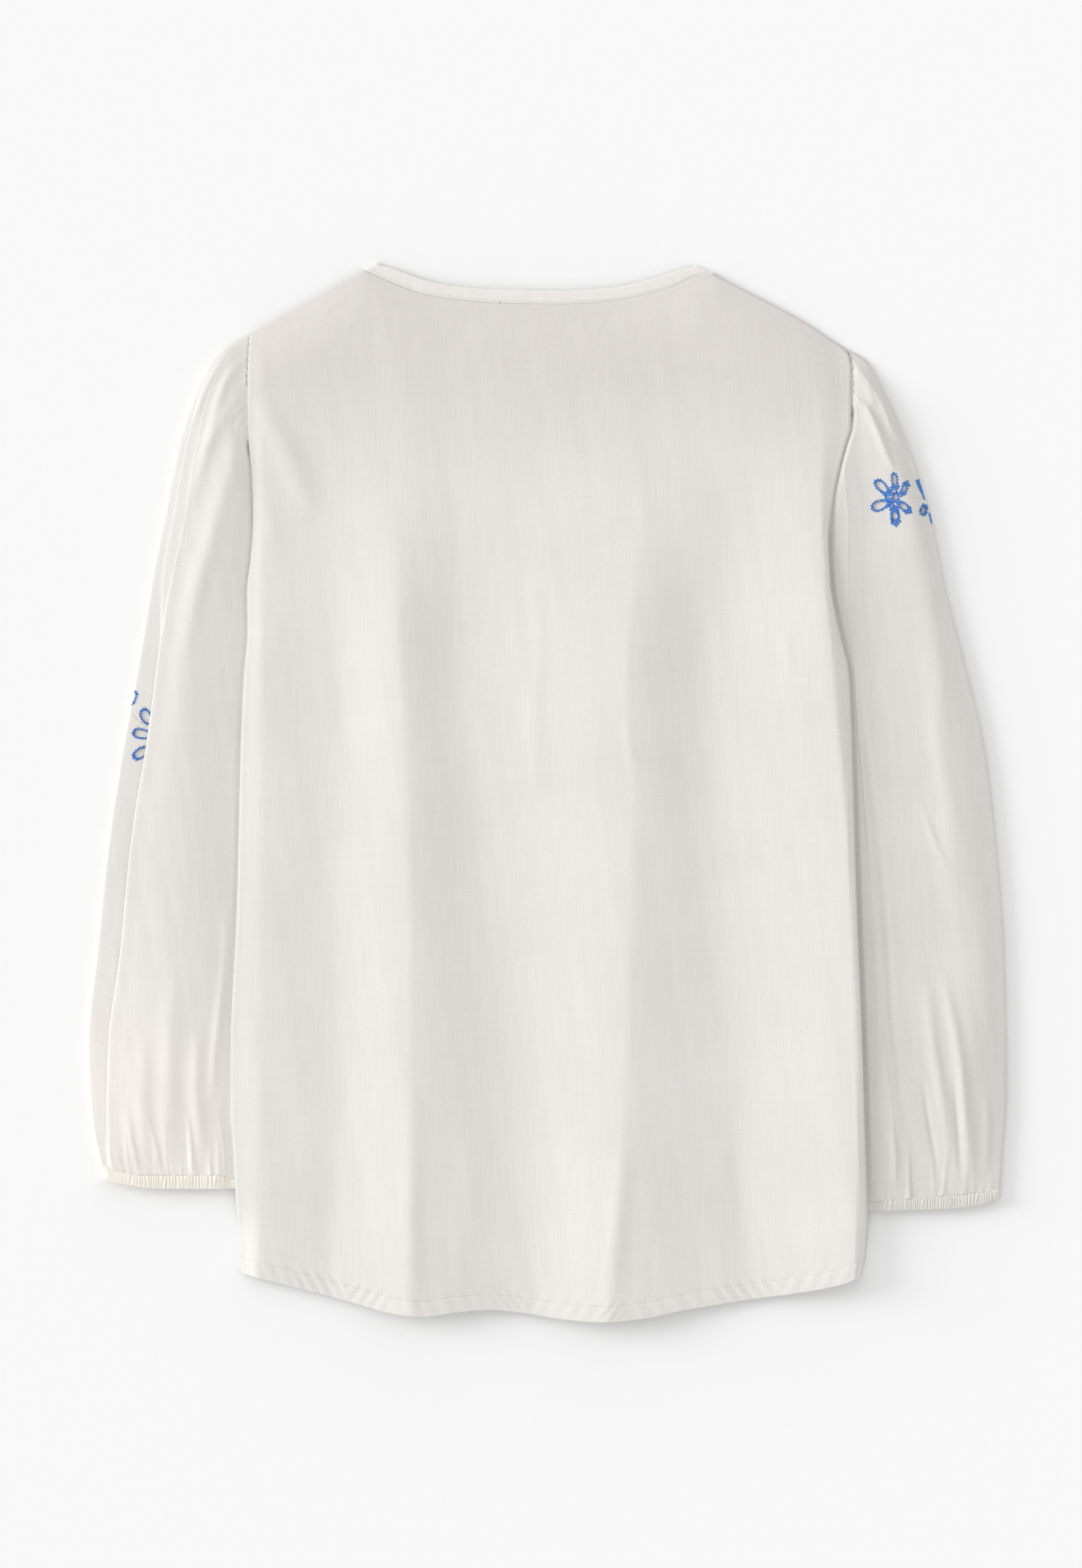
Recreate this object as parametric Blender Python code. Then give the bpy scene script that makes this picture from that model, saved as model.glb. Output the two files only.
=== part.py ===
"""A woman's white cotton blouse with cutwork flowers on its long sleeves.

It lies flat with its back up. Sizes are in millimetres and turned to metres when a mesh is made.
X runs across the blouse, +Y towards the neck, +Z up. The origin is under the middle of the
blouse, at the height of the surface that it lies on.
"""
import math

import bpy
import numpy as np
from mathutils import Vector
from mathutils.bvhtree import BVHTree

for old in list(bpy.data.objects):
    bpy.data.objects.remove(old)

MM = 0.001

# Cloth
WALL = 1.2            # a panel, drawn thicker than the cloth
DOUBLE_WALL = 1.6     # binding and cuffs, which are folded double
LAYER_GAP = 0.3       # between two layers that lie on each other
SEAM_GAP = 0.4        # between the edges of two pieces that are sewn together
CUFF_GAP = 0.75       # the same at the cuffs, where the sleeve's gathers lean

# Heights of the middle of a wall above the surface
FLAT = WALL / 2                        # a layer that lies on the surface
STACKED = FLAT + WALL + LAYER_GAP      # a second layer on the first
LIFT = 2 * (WALL + LAYER_GAP)          # how far the body's side edges ride up over the sleeves
PLATEAU = 7.5                          # the smooth upper back

# Underarm points, where the sleeve's seam goes under the body's side
UNDERARM_Y = {"left": 215.0, "right": 237.0}
SIDE_COMES_DOWN = {"left": (-244.0, -280.0), "right": (-258.0, -296.0)}
SHOULDER_Y = {"left": 297.4, "right": 289.6}
DROP = 18.0           # length of seam over which the sleeve sinks below the body's side

# Side edges of the body, from the hem corner to the shoulder point: height up the body, x
LEFT_SIDE = (
    (-312.4, -198.9), (-276, -201.3), (-220, -204.4), (-212, -205.3), (-158, -205.3),
    (-136, -204.4), (-78, -201.3), (27, -198.7), (76, -196.5), (104, -194.3), (131, -194.7),
    (149, -192.5), (178, -190.7), (206, -191.6), (223.5, -193.4), (241, -194.3),
    (267.5, -194.3), (297.4, -193.0),
)
RIGHT_SIDE = (
    (-311.5, 204.0), (-300, 206.4), (-271.5, 207.5), (-207.7, 205.7), (-146, 203.5),
    (-80, 200.9), (30, 197.8), (76, 195.8), (99, 190.7), (115, 187.2), (134, 183.7),
    (162, 182.4), (188, 184.6), (210, 189.0), (226, 193.4), (237, 196.5), (254, 196.9),
    (274, 197.3), (283, 195.6), (289.6, 189.2),
)
# Shirt-tail hem of the back: x, y
HEM = (
    (-206, -310.5), (-165.3, -320.9), (-130.3, -330.1), (-98, -338.2), (-80.4, -340.0),
    (-57.5, -337.1), (-37.4, -335.9), (-17.1, -337.8), (10.7, -341.9), (35, -343.3),
    (64, -341.0), (83.7, -336.9), (123, -330.6), (172.1, -323.2), (193.1, -318.2), (208, -311.0),
)
FRONT_HEM_SHORTER = 3.0

# Top edges of the back panel: x, y
LEFT_SHOULDER = ((-193.0, 297.4), (-160.8, 315.9), (-126.5, 334.6), (-118.2, 338.4))
NECK_LOWER = (
    (-118.2, 338.4), (-109.6, 334.6), (-99.6, 330.2), (-89.5, 326.2), (-76, 322.2),
    (-49.1, 318.5), (-22, 316.8), (8.1, 316.4), (40.7, 318.4), (67.1, 323.4), (80.6, 327.3),
    (99.4, 335.0), (108.0, 335.4),
)
RIGHT_SHOULDER = ((108.0, 335.4), (134.4, 321.8), (163.9, 306.2), (189.2, 289.6))
# Upper edge of the neck binding, which is the edge of the neck hole: x, y
NECK_UPPER = (
    (-109.4, 341.9), (-99.7, 339.4), (-79.4, 332.0), (-52.6, 327.2), (-20.9, 325.3),
    (8.1, 325.0), (40.7, 326.9), (67.1, 332.4), (86, 338.4), (95.4, 340.6),
)
FRONT_NECK_DEPTH = 96.0
BINDING_WIDTH = 9.0
BINDING_HEIGHT = {"shoulder": 2.7, "middle": 4.2}
NARROWER = 0.997      # the binding's neckline to the panels', which keeps it clear of the front

# Long soft folds of the back. x at three heights of the body, and height over the surface.
FOLD_HEIGHTS_Y = (-310.0, 0.0, 200.0)
BACK_FOLDS = (
    # name, x at the hem, x at the middle, x at the yoke, height
    ("left roll", -188.0, -184.0, -184.5, 10.0),
    ("left valley", -141.0, -138.5, -150.0, 5.8),
    ("left crest", -88.7, -88.0, -98.0, 15.0),
    ("middle valley", -12.0, -42.0, -57.0, 6.2),
    ("right crest", 37.0, 59.0, 69.0, 16.0),
    ("right valley", 133.0, 112.0, 126.0, 6.0),
    ("right roll", 195.5, 187.5, 172.5, 14.0),
)
FOLDS_START_Y, FOLDS_FULL_Y = 262.0, 80.0
SHOULDER_RAMP = 38.0
# A slanting fold that runs down from the left armhole
ARMHOLE_FOLD = {"top": (-188.0, 256.0), "foot": (-150.0, 178.0), "height": 2.6, "width": 9.0}

# Columns of the back: shares of the shoulder's width from the side edge, and steps along the neck
SHOULDER_COLUMNS = (0, 0.02, 0.06, 0.13, 0.23, 0.36, 0.52, 0.68, 0.84)
NECK_STEPS = 18
FRONT_NECK_STEPS = 16
# Rows of the back and the front: shares of the height, 0 at the hem. They are closer at the armhole.
BODY_ROWS = (0, .04, .085, .13, .21, .29, .37, .45, .52, .575, .61, .645, .68, .72, .765, .81, .84,
             .862, .88, .896, .91, .927, .944, .962, .98, 1)

# Sleeve sections from the shoulder to the cuff. Each runs from the hidden edge, under the body,
# to the outer fold. The pleat is where the sleeve folds back on itself.
#   out_x, out_y    outer fold
#   side_y          where the section comes out at the body's side
#   margin          how far it runs on under the body, or, below 0, how far outside it starts
#   low             low strip beside the body             z_step  height beside that strip
#   ridge, z_ridge  its place, 0 to 1, between the strip and the pleat, and its height
#   z_dip, z_pleat  height before the pleat's edge and on it
#   pleat           pleat's edge from the outer fold      lap   how far the layers overlap
#   z_foot          height at the pleat's foot            z_mid past the foot
#   crest, z_crest  its place, 0 to 1, from the foot to the fold, and its height
#   z_fold          height of the upper layer at the outer fold
SECTION_NAMES = (
    "out_x", "out_y", "side_y", "margin", "low", "z_step", "ridge", "z_ridge",
    "z_dip", "z_pleat", "pleat", "lap", "z_foot", "z_mid", "crest", "z_crest", "z_fold",
)
LEFT_SLEEVE = (
    (-193.4, 297.4, 215, 0, 0, 5.2, .5, 6.0, 5.6, 4.5, 4, -2, 3.4, 3, .85, 2.6, 2.1),
    (-213.0, 286.0, 206, 4, 0, 6.0, .5, 8.0, 7.5, 6.5, 8, -3, 4.6, 4.2, .85, 4, 3.4),
    (-224.0, 268.0, 196, 8, 0, 6.5, .4, 10.5, 9.0, 8.0, 10, -4, 5, 4.8, .85, 4.8, 4.6),
    (-236.5, 233.0, 180, 12, 0, 7.5, .35, 12, 10, 9.5, 12, -5, 5.4, 5.2, .85, 5.2, 5.2),
    (-246.4, 185.0, 152, 15, 0, 7.5, .45, 12.5, 10, 10, 12, -5, 5.4, 5.4, .85, 5.4, 5.4),
    (-255.0, 141.7, 123, 15, 0, 7.0, .60, 13, 10.5, 10.3, 11, -4, 5.4, 5.4, .85, 5.4, 5.4),
    (-263.3, 91.5, 84, 15, 0, 7.0, .66, 13, 10.5, 10.4, 12.5, -2, 5.4, 5.4, .85, 5.4, 5.4),
    (-276.5, 21.0, 20, 15, 1, 8.0, .60, 12.5, 11, 10.4, 16, 5, 5.4, 5.4, .85, 5.4, 5.4),
    (-284.3, -30.8, -31, 15, 2, 8.5, .50, 12.5, 11.2, 10.4, 15.6, 6, 5.4, 5.4, .85, 5.4, 5.4),
    (-292.0, -102.0, -102, 15, 6, 9.0, .45, 12.5, 11, 10.4, 16.3, 6, 5.4, 5.4, .85, 5.4, 5.4),
    (-297.9, -160.0, -160, 15, 12, 9.5, .45, 12.5, 11, 10.4, 14.5, 5, 5.4, 5.4, .85, 5.4, 5.4),
    (-296.5, -196.7, -195, 12, 13, 9.5, .45, 12, 10.6, 10, 12, 2, 5.4, 5.4, .85, 5.4, 5.4),
    (-292.8, -224.4, -222, -2, 3, 8.5, .45, 10, 9.5, 9, 8, -2, 6, 6, .85, 6, 6),
    (-286.8, -241.4, -248.8, -1.2, 0, 6.6, .45, 6.8, 6.8, 6.8, 5, -3, 6.6, 6.6, .85, 6.6, 6.6),
)
RIGHT_SLEEVE = (
    (189.6, 289.6, 237, 0, 0, 5.2, .5, 5.4, 5.4, 5.2, 40, -4, 5.0, 5.6, .8, 4.0, 2.1),
    (207.0, 279.0, 228, 4, 1, 5.4, .5, 6.2, 6.2, 6.2, 44, -5, 5.0, 8.0, .7, 7.5, 3.4),
    (221.0, 255.0, 216, 8, 2, 6.0, .5, 7.4, 7.4, 7.4, 42, -5, 5.0, 9.0, .7, 9.5, 4.8),
    (235.8, 220.4, 198, 12, 2, 7.0, .5, 8.4, 8.4, 8.4, 45, -6, 4.8, 9.0, .7, 11.5, 5.4),
    (248.4, 181.3, 170, 14, 2, 8.0, .5, 9.0, 9.0, 9.0, 52, -7, 4.6, 9.0, .75, 12.5, 5.4),
    (258.9, 129.4, 126, 14, 2, 8.0, .5, 9.2, 9.2, 9.2, 62, -7, 4.4, 9.0, .86, 13, 5.6),
    (269.5, 88.4, 86, 14, 1, 8.0, .5, 9.2, 9.2, 9.2, 69, -7, 4.2, 9.0, .82, 13.5, 5.6),
    (283.6, 28.2, 28, 14, 1, 8.0, .5, 9.2, 9.2, 9.2, 79, -7, 3.8, 9.0, .76, 13.5, 5.6),
    (290.3, -25.0, -25, 14, 2, 8.0, .5, 9.2, 9.2, 9.2, 81, -7, 3.6, 9.0, .78, 13.5, 5.6),
    (296.3, -102.0, -102, 14, 4, 8.5, .5, 9.2, 9.2, 9.2, 80, -7, 3.6, 9.0, .82, 13, 5.6),
    (297.7, -158.6, -158.6, 14, 4, 8.5, .5, 9.2, 9.2, 9.2, 78.5, -6, 3.8, 9.5, .70, 12.5, 5.6),
    (297.9, -196.5, -197, 13, 4, 8.5, .5, 9.2, 9.2, 9.2, 73.5, -6, 4.4, 9.5, .62, 12, 5.8),
    (296.0, -226.0, -230, 7, 4, 8.0, .5, 9.0, 9.0, 9.0, 68.5, -5, 5.4, 9.0, .62, 11, 6.2),
    (293.0, -256.6, -263.6, -0.8, 0, 6.6, .5, 6.8, 6.8, 6.8, 64, -4, 6.6, 6.8, .62, 6.8, 6.6),
)
SLEEVE_ROWS = (0, .3, .7, 1.2, 2, 2.6, 3.2, 4, 4.8, 5.6, 6.5, 7.5, 8.5, 9.4, 10, 10.6, 11.1,
               11.5, 12, 12.5, 13)
GATHER_ROWS = 5              # rows at the cuff that have twice the points across
UNDER_TURN = 32.0            # how far the upper piece goes on under the outer fold
UNDER_COLUMNS = 9
HEAD_GATHERS, HEAD_GATHER_DEPTH = 6, 0.9
CUFF_GATHERS, CUFF_GATHER_DEPTH = 10, 1.2
# Points across each span of a section, from the hidden edge to the turned-under edge
LEFT_SPANS = (1, 0, 1, 1, 2, 2, 3, 3, 1, 2, 1, 1, 2, 1, 1, 1, 1, 1, 3, 1, 1, 1, 1)
RIGHT_SPANS = (1, 0, 1, 1, 1, 1, 1, 1, 1, 1, 1, 1, 2, 3, 3, 3, 2, 2, 3, 2, 2, 2, 1)

# Elastic cuffs: their long edges, x, y
CUFF_UPPER = {
    "left": ((-288.5, -242.2), (-275, -245.0), (-264.7, -247.2), (-212.7, -247.4), (-203.8, -249.4)),
    "right": ((208.0, -264.6), (228.8, -262.9), (256.7, -260.5), (276.5, -258.7), (294.4, -257.0)),
}
CUFF_LOWER = {
    "left": ((-288.5, -250.0), (-284.5, -252.2), (-270, -255.2), (-253.4, -257.2), (-203.8, -257.4)),
    "right": ((208.0, -272.2), (228.8, -271.2), (259.6, -270.2), (276.5, -268.2), (294.4, -262.6)),
}
CUFF_RIPPLES, CUFF_RIPPLE_DEPTH = 28, 0.7
CUFF_TOP = 6.8

# Cut-out petals of the flowers: place on the blouse, the eyelet's length and width, and its lean
PETALS = {
    "right": (
        # x, y, length, width, degrees from +X
        (215.8, 197.8, 9.0, 4.5, 135), (215.0, 184.6, 8.8, 5.2, 197), (225.4, 174.6, 7.6, 4.4, 270),
        (231.6, 183.2, 7.2, 4.5, 312), (231.9, 194.8, 7.0, 4.3, 68), (225.3, 203.2, 7.6, 4.3, 92),
        (243.6, 182.6, 5.6, 4.3, 262),
    ),
    "left": (
        (-259.6, 48.9, 7.6, 4.4, 118), (-264.2, 37.0, 8.4, 4.8, 180), (-264.6, 24.6, 8.0, 4.6, 214),
    ),
}
PETAL_SIDES = 14
CUTTER_REACH = 1.5           # on each side of the cloth's middle

COTTON = (0.86, 0.85, 0.83)
BINDING_COTTON = (0.88, 0.86, 0.82)
CUFF_COTTON = (0.88, 0.85, 0.80)


def curve(points):
    """A smooth curve through pairs of (place, value) that never overshoots its points."""
    knots = np.array([p[0] for p in points], float)
    values = np.array([p[1] for p in points], float)
    steps = np.diff(knots)
    rises = np.diff(values) / steps
    slopes = np.zeros(len(knots))
    slopes[0], slopes[-1] = rises[0], rises[-1]
    for i in range(1, len(knots) - 1):
        if rises[i - 1] * rises[i] > 0:
            slopes[i] = 2 / (1 / rises[i - 1] + 1 / rises[i])

    def value_at(place):
        place = min(max(place, knots[0]), knots[-1])
        i = min(int(np.searchsorted(knots, place, side="right")) - 1, len(steps) - 1)
        t = (place - knots[i]) / steps[i]
        start = (2 * t**3 - 3 * t**2 + 1) * values[i] + (t**3 - 2 * t**2 + t) * steps[i] * slopes[i]
        end = (3 * t**2 - 2 * t**3) * values[i + 1] + (t**3 - t**2) * steps[i] * slopes[i + 1]
        return float(start + end)

    return value_at


def ease(place, start, end):
    """From 0 at start to 1 at end, smoothly."""
    t = min(max((place - start) / (end - start), 0.0), 1.0)
    return t * t * (3 - 2 * t)


def mix(a, b, t):
    """From a to b in proportion to t."""
    return a + (b - a) * t


left_side, right_side = curve(LEFT_SIDE), curve(RIGHT_SIDE)
hem_y = curve(HEM)
left_shoulder, right_shoulder = curve(LEFT_SHOULDER), curve(RIGHT_SHOULDER)
neck_lower, neck_upper = curve(NECK_LOWER), curve(NECK_UPPER)
LEFT_X, RIGHT_X = LEFT_SHOULDER[0][0], RIGHT_SHOULDER[-1][0]
NECK_LEFT_X, NECK_RIGHT_X = NECK_LOWER[0][0], NECK_LOWER[-1][0]
NECK_FROM = (NECK_LEFT_X - LEFT_X) / (RIGHT_X - LEFT_X)
NECK_TO = (NECK_RIGHT_X - LEFT_X) / (RIGHT_X - LEFT_X)
fold_paths = [curve(list(zip(FOLD_HEIGHTS_Y, fold[1:4]))) for fold in BACK_FOLDS]


def back_top(x):
    """Upper edge of the back: two shoulders and the neckline."""
    if x < NECK_LEFT_X:
        return left_shoulder(x)
    if x > NECK_RIGHT_X:
        return right_shoulder(x)
    return neck_lower(x)


def side_lift(y, side):
    """How far the body's side rides up over the sleeve: 0 at the armhole and below the cuff."""
    under_arm, (high, low) = UNDERARM_Y[side], SIDE_COMES_DOWN[side]
    return LIFT * ease(y, under_arm + DROP, under_arm) * ease(y, low, high)


def top_edge_height(x):
    """Height of the back along the shoulders and the neck."""
    neck_middle = (NECK_LEFT_X + NECK_RIGHT_X) / 2
    across = 1 - ((x - neck_middle) / (NECK_RIGHT_X - neck_middle)) ** 2
    if across > 0:
        return mix(2.9, 4.4, across)
    beyond = max(NECK_LEFT_X - x, x - NECK_RIGHT_X)
    return mix(2.9, STACKED, min(beyond / 75, 1.0))


def back_height(x, y):
    """Height of the middle of the back panel: columns of soft folds, low at the edges."""
    folded = ease(y, FOLDS_START_Y, FOLDS_FULL_Y)
    edge = {}
    for side in ("left", "right"):
        low = STACKED + side_lift(y, side)
        edge[side] = mix(low, STACKED + LIFT, ease(y, UNDERARM_Y[side] - DROP, UNDERARM_Y[side]))
    places = [left_side(y)] + [path(y) for path in fold_paths] + [right_side(y)]
    heights = [mix(PLATEAU, fold[4], folded) for fold in BACK_FOLDS]
    heights = [edge["left"]] + heights + [edge["right"]]
    i = min(max(int(np.searchsorted(places, x, side="right")) - 1, 0), len(places) - 2)
    z = mix(heights[i], heights[i + 1], ease(x, places[i], places[i + 1]))
    top, foot = Vector(ARMHOLE_FOLD["top"]), Vector(ARMHOLE_FOLD["foot"])
    along = (Vector((x, y)) - top).dot(foot - top) / (foot - top).length_squared
    aside = (Vector((x, y)) - top.lerp(foot, along)).length / ARMHOLE_FOLD["width"]
    if 0 < along < 1:
        z += ARMHOLE_FOLD["height"] * math.sin(math.pi * along) * math.exp(-aside * aside)
    down = min(max((back_top(x) - y) / SHOULDER_RAMP, 0.0), 1.0)
    return mix(top_edge_height(x), z, 1 - (1 - down) ** 2)


def front_height(x, y):
    """The front lies flat, with its sides raised over the sleeves."""
    raised = 0.0
    for side, inboard in (("left", x - left_side(y)), ("right", right_side(y) - x)):
        raised = max(raised, side_lift(y, side) * (1 - ease(inboard, 17.5, 32)))
    return FLAT + raised


def front_top(x):
    """Shoulders, and the deep round neck of the front."""
    if x < NECK_LEFT_X or x > NECK_RIGHT_X:
        return back_top(x)
    across = 2 * (x - NECK_LEFT_X) / (NECK_RIGHT_X - NECK_LEFT_X) - 1
    tips = mix(NECK_LOWER[0][1], NECK_LOWER[-1][1], (across + 1) / 2)
    return tips - (FRONT_NECK_DEPTH + BINDING_WIDTH / 2) * math.sqrt(max(1 - across * across, 0))


def material(name, colour, roughness):
    finish = bpy.data.materials.new(name)
    finish.use_nodes = True
    shader = finish.node_tree.nodes["Principled BSDF"]
    shader.inputs["Base Color"].default_value = (*colour, 1)
    shader.inputs["Roughness"].default_value = roughness
    finish.diffuse_color = (*colour, 1)
    return finish


def sheet_faces(rows, closed=False):
    """Faces between rows of points. A row may have twice the steps of the one before it."""
    starts = [0]
    for row in rows:
        starts.append(starts[-1] + len(row))
    faces = []
    pairs = [(i, i + 1) for i in range(len(rows) - 1)]
    if closed:
        pairs.append((len(rows) - 1, 0))
    for i, j in pairs:
        a, b = starts[i], starts[j]
        if len(rows[j]) == len(rows[i]):
            faces += [(a + k, a + k + 1, b + k + 1, b + k) for k in range(len(rows[i]) - 1)]
            continue
        for k in range(len(rows[i]) - 1):
            faces.append((a + k, b + 2 * k + 1, b + 2 * k))
            faces.append((a + k, a + k + 1, b + 2 * k + 1))
            faces.append((a + k + 1, b + 2 * k + 2, b + 2 * k + 1))
    return faces


def cloth(name, rows, finish, wall=WALL, closed=False):
    """A piece of cloth: a sheet through rows of points, given its wall by Solidify."""
    points = [Vector(p) * MM for row in rows for p in row]
    mesh = bpy.data.meshes.new(name)
    mesh.from_pydata(points, [], sheet_faces(rows, closed))
    mesh.materials.append(finish)
    mesh.shade_smooth()
    piece = bpy.data.objects.new(name, mesh)
    bpy.context.scene.collection.objects.link(piece)
    solid = piece.modifiers.new("wall", "SOLIDIFY")
    solid.thickness = wall * MM
    solid.offset = 0
    return piece


def panel_rows(columns, top, bottom, height):
    """Rows from the hem up. Columns are shares of the width, 0 at the left side edge."""
    rows = []
    for up in BODY_ROWS:
        row = []
        for share in columns:
            top_x = mix(LEFT_X, RIGHT_X, share)
            low_x = mix(left_side(HEM[0][1]), right_side(HEM[-1][1]), share)
            top_y = top(top_x)
            y = mix(bottom(low_x), top_y, up)
            drift = top_x - mix(left_side(top_y), right_side(top_y), share)
            x = mix(left_side(y), right_side(y), share) + drift * up**4
            row.append((x, y, height(x, y)))
        rows.append(row)
    return rows


def make_back(finish):
    left = [share * NECK_FROM for share in SHOULDER_COLUMNS]
    neck = [mix(NECK_FROM, NECK_TO, k / NECK_STEPS) for k in range(NECK_STEPS + 1)]
    right = [mix(1, NECK_TO, share) for share in reversed(SHOULDER_COLUMNS)]
    rows = panel_rows(left + neck + right, back_top, hem_y, back_height)
    return cloth("back", rows, finish)


def make_front(finish):
    side = (0, 0.012, 0.042, 0.055, 0.068, 0.082, 0.13)
    neck = [mix(NECK_FROM, NECK_TO, (1 - math.cos(math.pi * k / FRONT_NECK_STEPS)) / 2)
            for k in range(FRONT_NECK_STEPS + 1)]
    columns = list(side) + neck + [1 - share for share in reversed(side)]

    def bottom(x):
        return hem_y(x) + FRONT_HEM_SHORTER

    return cloth("front", panel_rows(columns, front_top, bottom, front_height), finish)


def make_neck_binding(finish):
    """One strip round the neck: along the back, folded at each shoulder, and round the front."""
    low = DOUBLE_WALL / 2
    turn = (BINDING_HEIGHT["shoulder"] - low) / 2
    rows = []

    def edge_of_back(x):
        slope = neck_lower(x + 0.5) - neck_lower(x - 0.5)
        away = Vector((-slope, 1)).normalized() * SEAM_GAP
        return (x + away.x) * NARROWER, neck_lower(x) + away.y

    upper_left, upper_right = NECK_UPPER[0], NECK_UPPER[-1]
    lower_left, lower_right = edge_of_back(NECK_LEFT_X), edge_of_back(NECK_RIGHT_X)

    def strip(upper, lower, z):
        middle = tuple(mix(a, b, 0.5) for a, b in zip(upper, lower))
        rows.append([(*upper, z), (*middle, z), (*lower, z)])

    def fold(upper, lower, rising):
        line = Vector(upper) - Vector(lower)
        out = Vector((-line.y, line.x)).normalized()
        if out.y < 0:
            out = -out
        for degrees in (45, 90, 135):
            angle = math.radians(180 - degrees if rising else degrees)
            aside = out * turn * math.sin(angle)
            z = low + turn + turn * math.cos(angle)
            strip(tuple(Vector(upper) + aside), tuple(Vector(lower) + aside), z)

    for k in range(NECK_STEPS + 1):
        share = k / NECK_STEPS
        upper_x = mix(upper_right[0], upper_left[0], share)
        z = mix(BINDING_HEIGHT["shoulder"], BINDING_HEIGHT["middle"], 1 - (2 * share - 1) ** 2)
        lower = edge_of_back(mix(NECK_RIGHT_X, NECK_LEFT_X, share))
        strip((upper_x, neck_upper(upper_x)), lower, z)
    fold(upper_left, lower_left, rising=False)
    for k in range(FRONT_NECK_STEPS + 1):
        angle = math.pi * k / FRONT_NECK_STEPS
        share = (1 - math.cos(angle)) / 2
        ends = ((upper_left, upper_right, FRONT_NECK_DEPTH - BINDING_WIDTH / 2),
                (lower_left, lower_right, FRONT_NECK_DEPTH + BINDING_WIDTH / 2 - 2 * SEAM_GAP))
        edge = [(mix(start[0], end[0], share), mix(start[1], end[1], share) - deep * math.sin(angle))
                for start, end, deep in ends]
        strip(edge[0], edge[1], low)
    fold(upper_right, lower_right, rising=True)
    return cloth("neck_binding", rows, finish, wall=DOUBLE_WALL, closed=True)


def spline(controls, spans):
    """Points of a cubic B-spline that starts and ends at its first and last control."""
    padded = [controls[0]] * 2 + list(controls) + [controls[-1]] * 2
    points = []
    for k, count in enumerate(spans):
        a, b, c, d = (np.array(p, float) for p in padded[k:k + 4])
        for n in range(count):
            t = n / count
            points.append(((1 - t)**3 * a + (3 * t**3 - 6 * t**2 + 4) * b
                           + (1 + 3 * t + 3 * t**2 - 3 * t**3) * c + t**3 * d) / 6)
    points.append(np.array(controls[-1], float))
    return [(float(p[0]), float(p[1])) for p in points]


def section_controls(s, margin, width):
    """Control points of one sleeve section: distance from the hidden edge, height."""
    start = margin + 2.5
    beside = start + s["low"]
    edge = width - s["pleat"]
    foot = edge - s["lap"]
    past = width - foot
    half = (s["z_pleat"] + s["z_foot"]) / 2
    reach = 1.2
    return [
        (0, STACKED), (0.5 * start, STACKED), (start, STACKED),
        (beside, mix(STACKED, s["z_step"], 0.15)), (mix(beside, edge, 0.12), s["z_step"]),
        (mix(beside, edge, s["ridge"]), s["z_ridge"]), (mix(beside, edge, 0.8), s["z_dip"]),
        (edge - 0.05 * (edge - beside) - 2, s["z_pleat"]), (edge + reach, s["z_pleat"]),
        (edge + reach, half), ((edge + foot) / 2, half), (foot - reach, half),
        (foot - reach, s["z_foot"]), (foot + 0.2 * past, s["z_foot"]),
        (foot + 0.5 * past, s["z_mid"]), (foot + s["crest"] * past, s["z_crest"]),
        (width - min(3, 0.1 * past), s["z_fold"]), (width + 0.13, s["z_fold"]),
        (width + 0.13, FLAT), (width - 3, FLAT), (width - 12, FLAT), (width - UNDER_TURN, FLAT),
    ]


def seam_height(side, y):
    """Height of the sleeve beside the body: under the body's side, then up to the armhole's edge."""
    edge = left_side if side == "left" else right_side
    return mix(STACKED, back_height(edge(y), y), ease(y, UNDERARM_Y[side], UNDERARM_Y[side] + DROP))


def seam_point(side, share):
    """A point on the sleeve's armhole seam, from the underarm, where it is low, to the shoulder."""
    y = mix(UNDERARM_Y[side], SHOULDER_Y[side], share)
    edge = left_side if side == "left" else right_side
    gap = SEAM_GAP * (1 + 1.2 * ease(share, 0.85, 1))
    away = Vector((1, edge(y - 0.5) - edge(y + 0.5))).normalized() * gap
    if side == "left":
        away = -away
    return edge(y) + away.x, y + away.y, seam_height(side, y)


def cuff_seam_y(side, x):
    """Lower edge of the sleeve, just above the cuff."""
    return curve(CUFF_UPPER[side])(x) + CUFF_GAP


def section_line(side, s):
    """Where a sleeve section leaves the body's side, and its outer fold."""
    edge, outward = (left_side, -1) if side == "left" else (right_side, 1)
    gap = SEAM_GAP - min(s["margin"], 0)
    return Vector((edge(s["side_y"]) + outward * gap, s["side_y"])), Vector((s["out_x"], s["out_y"]))


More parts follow.
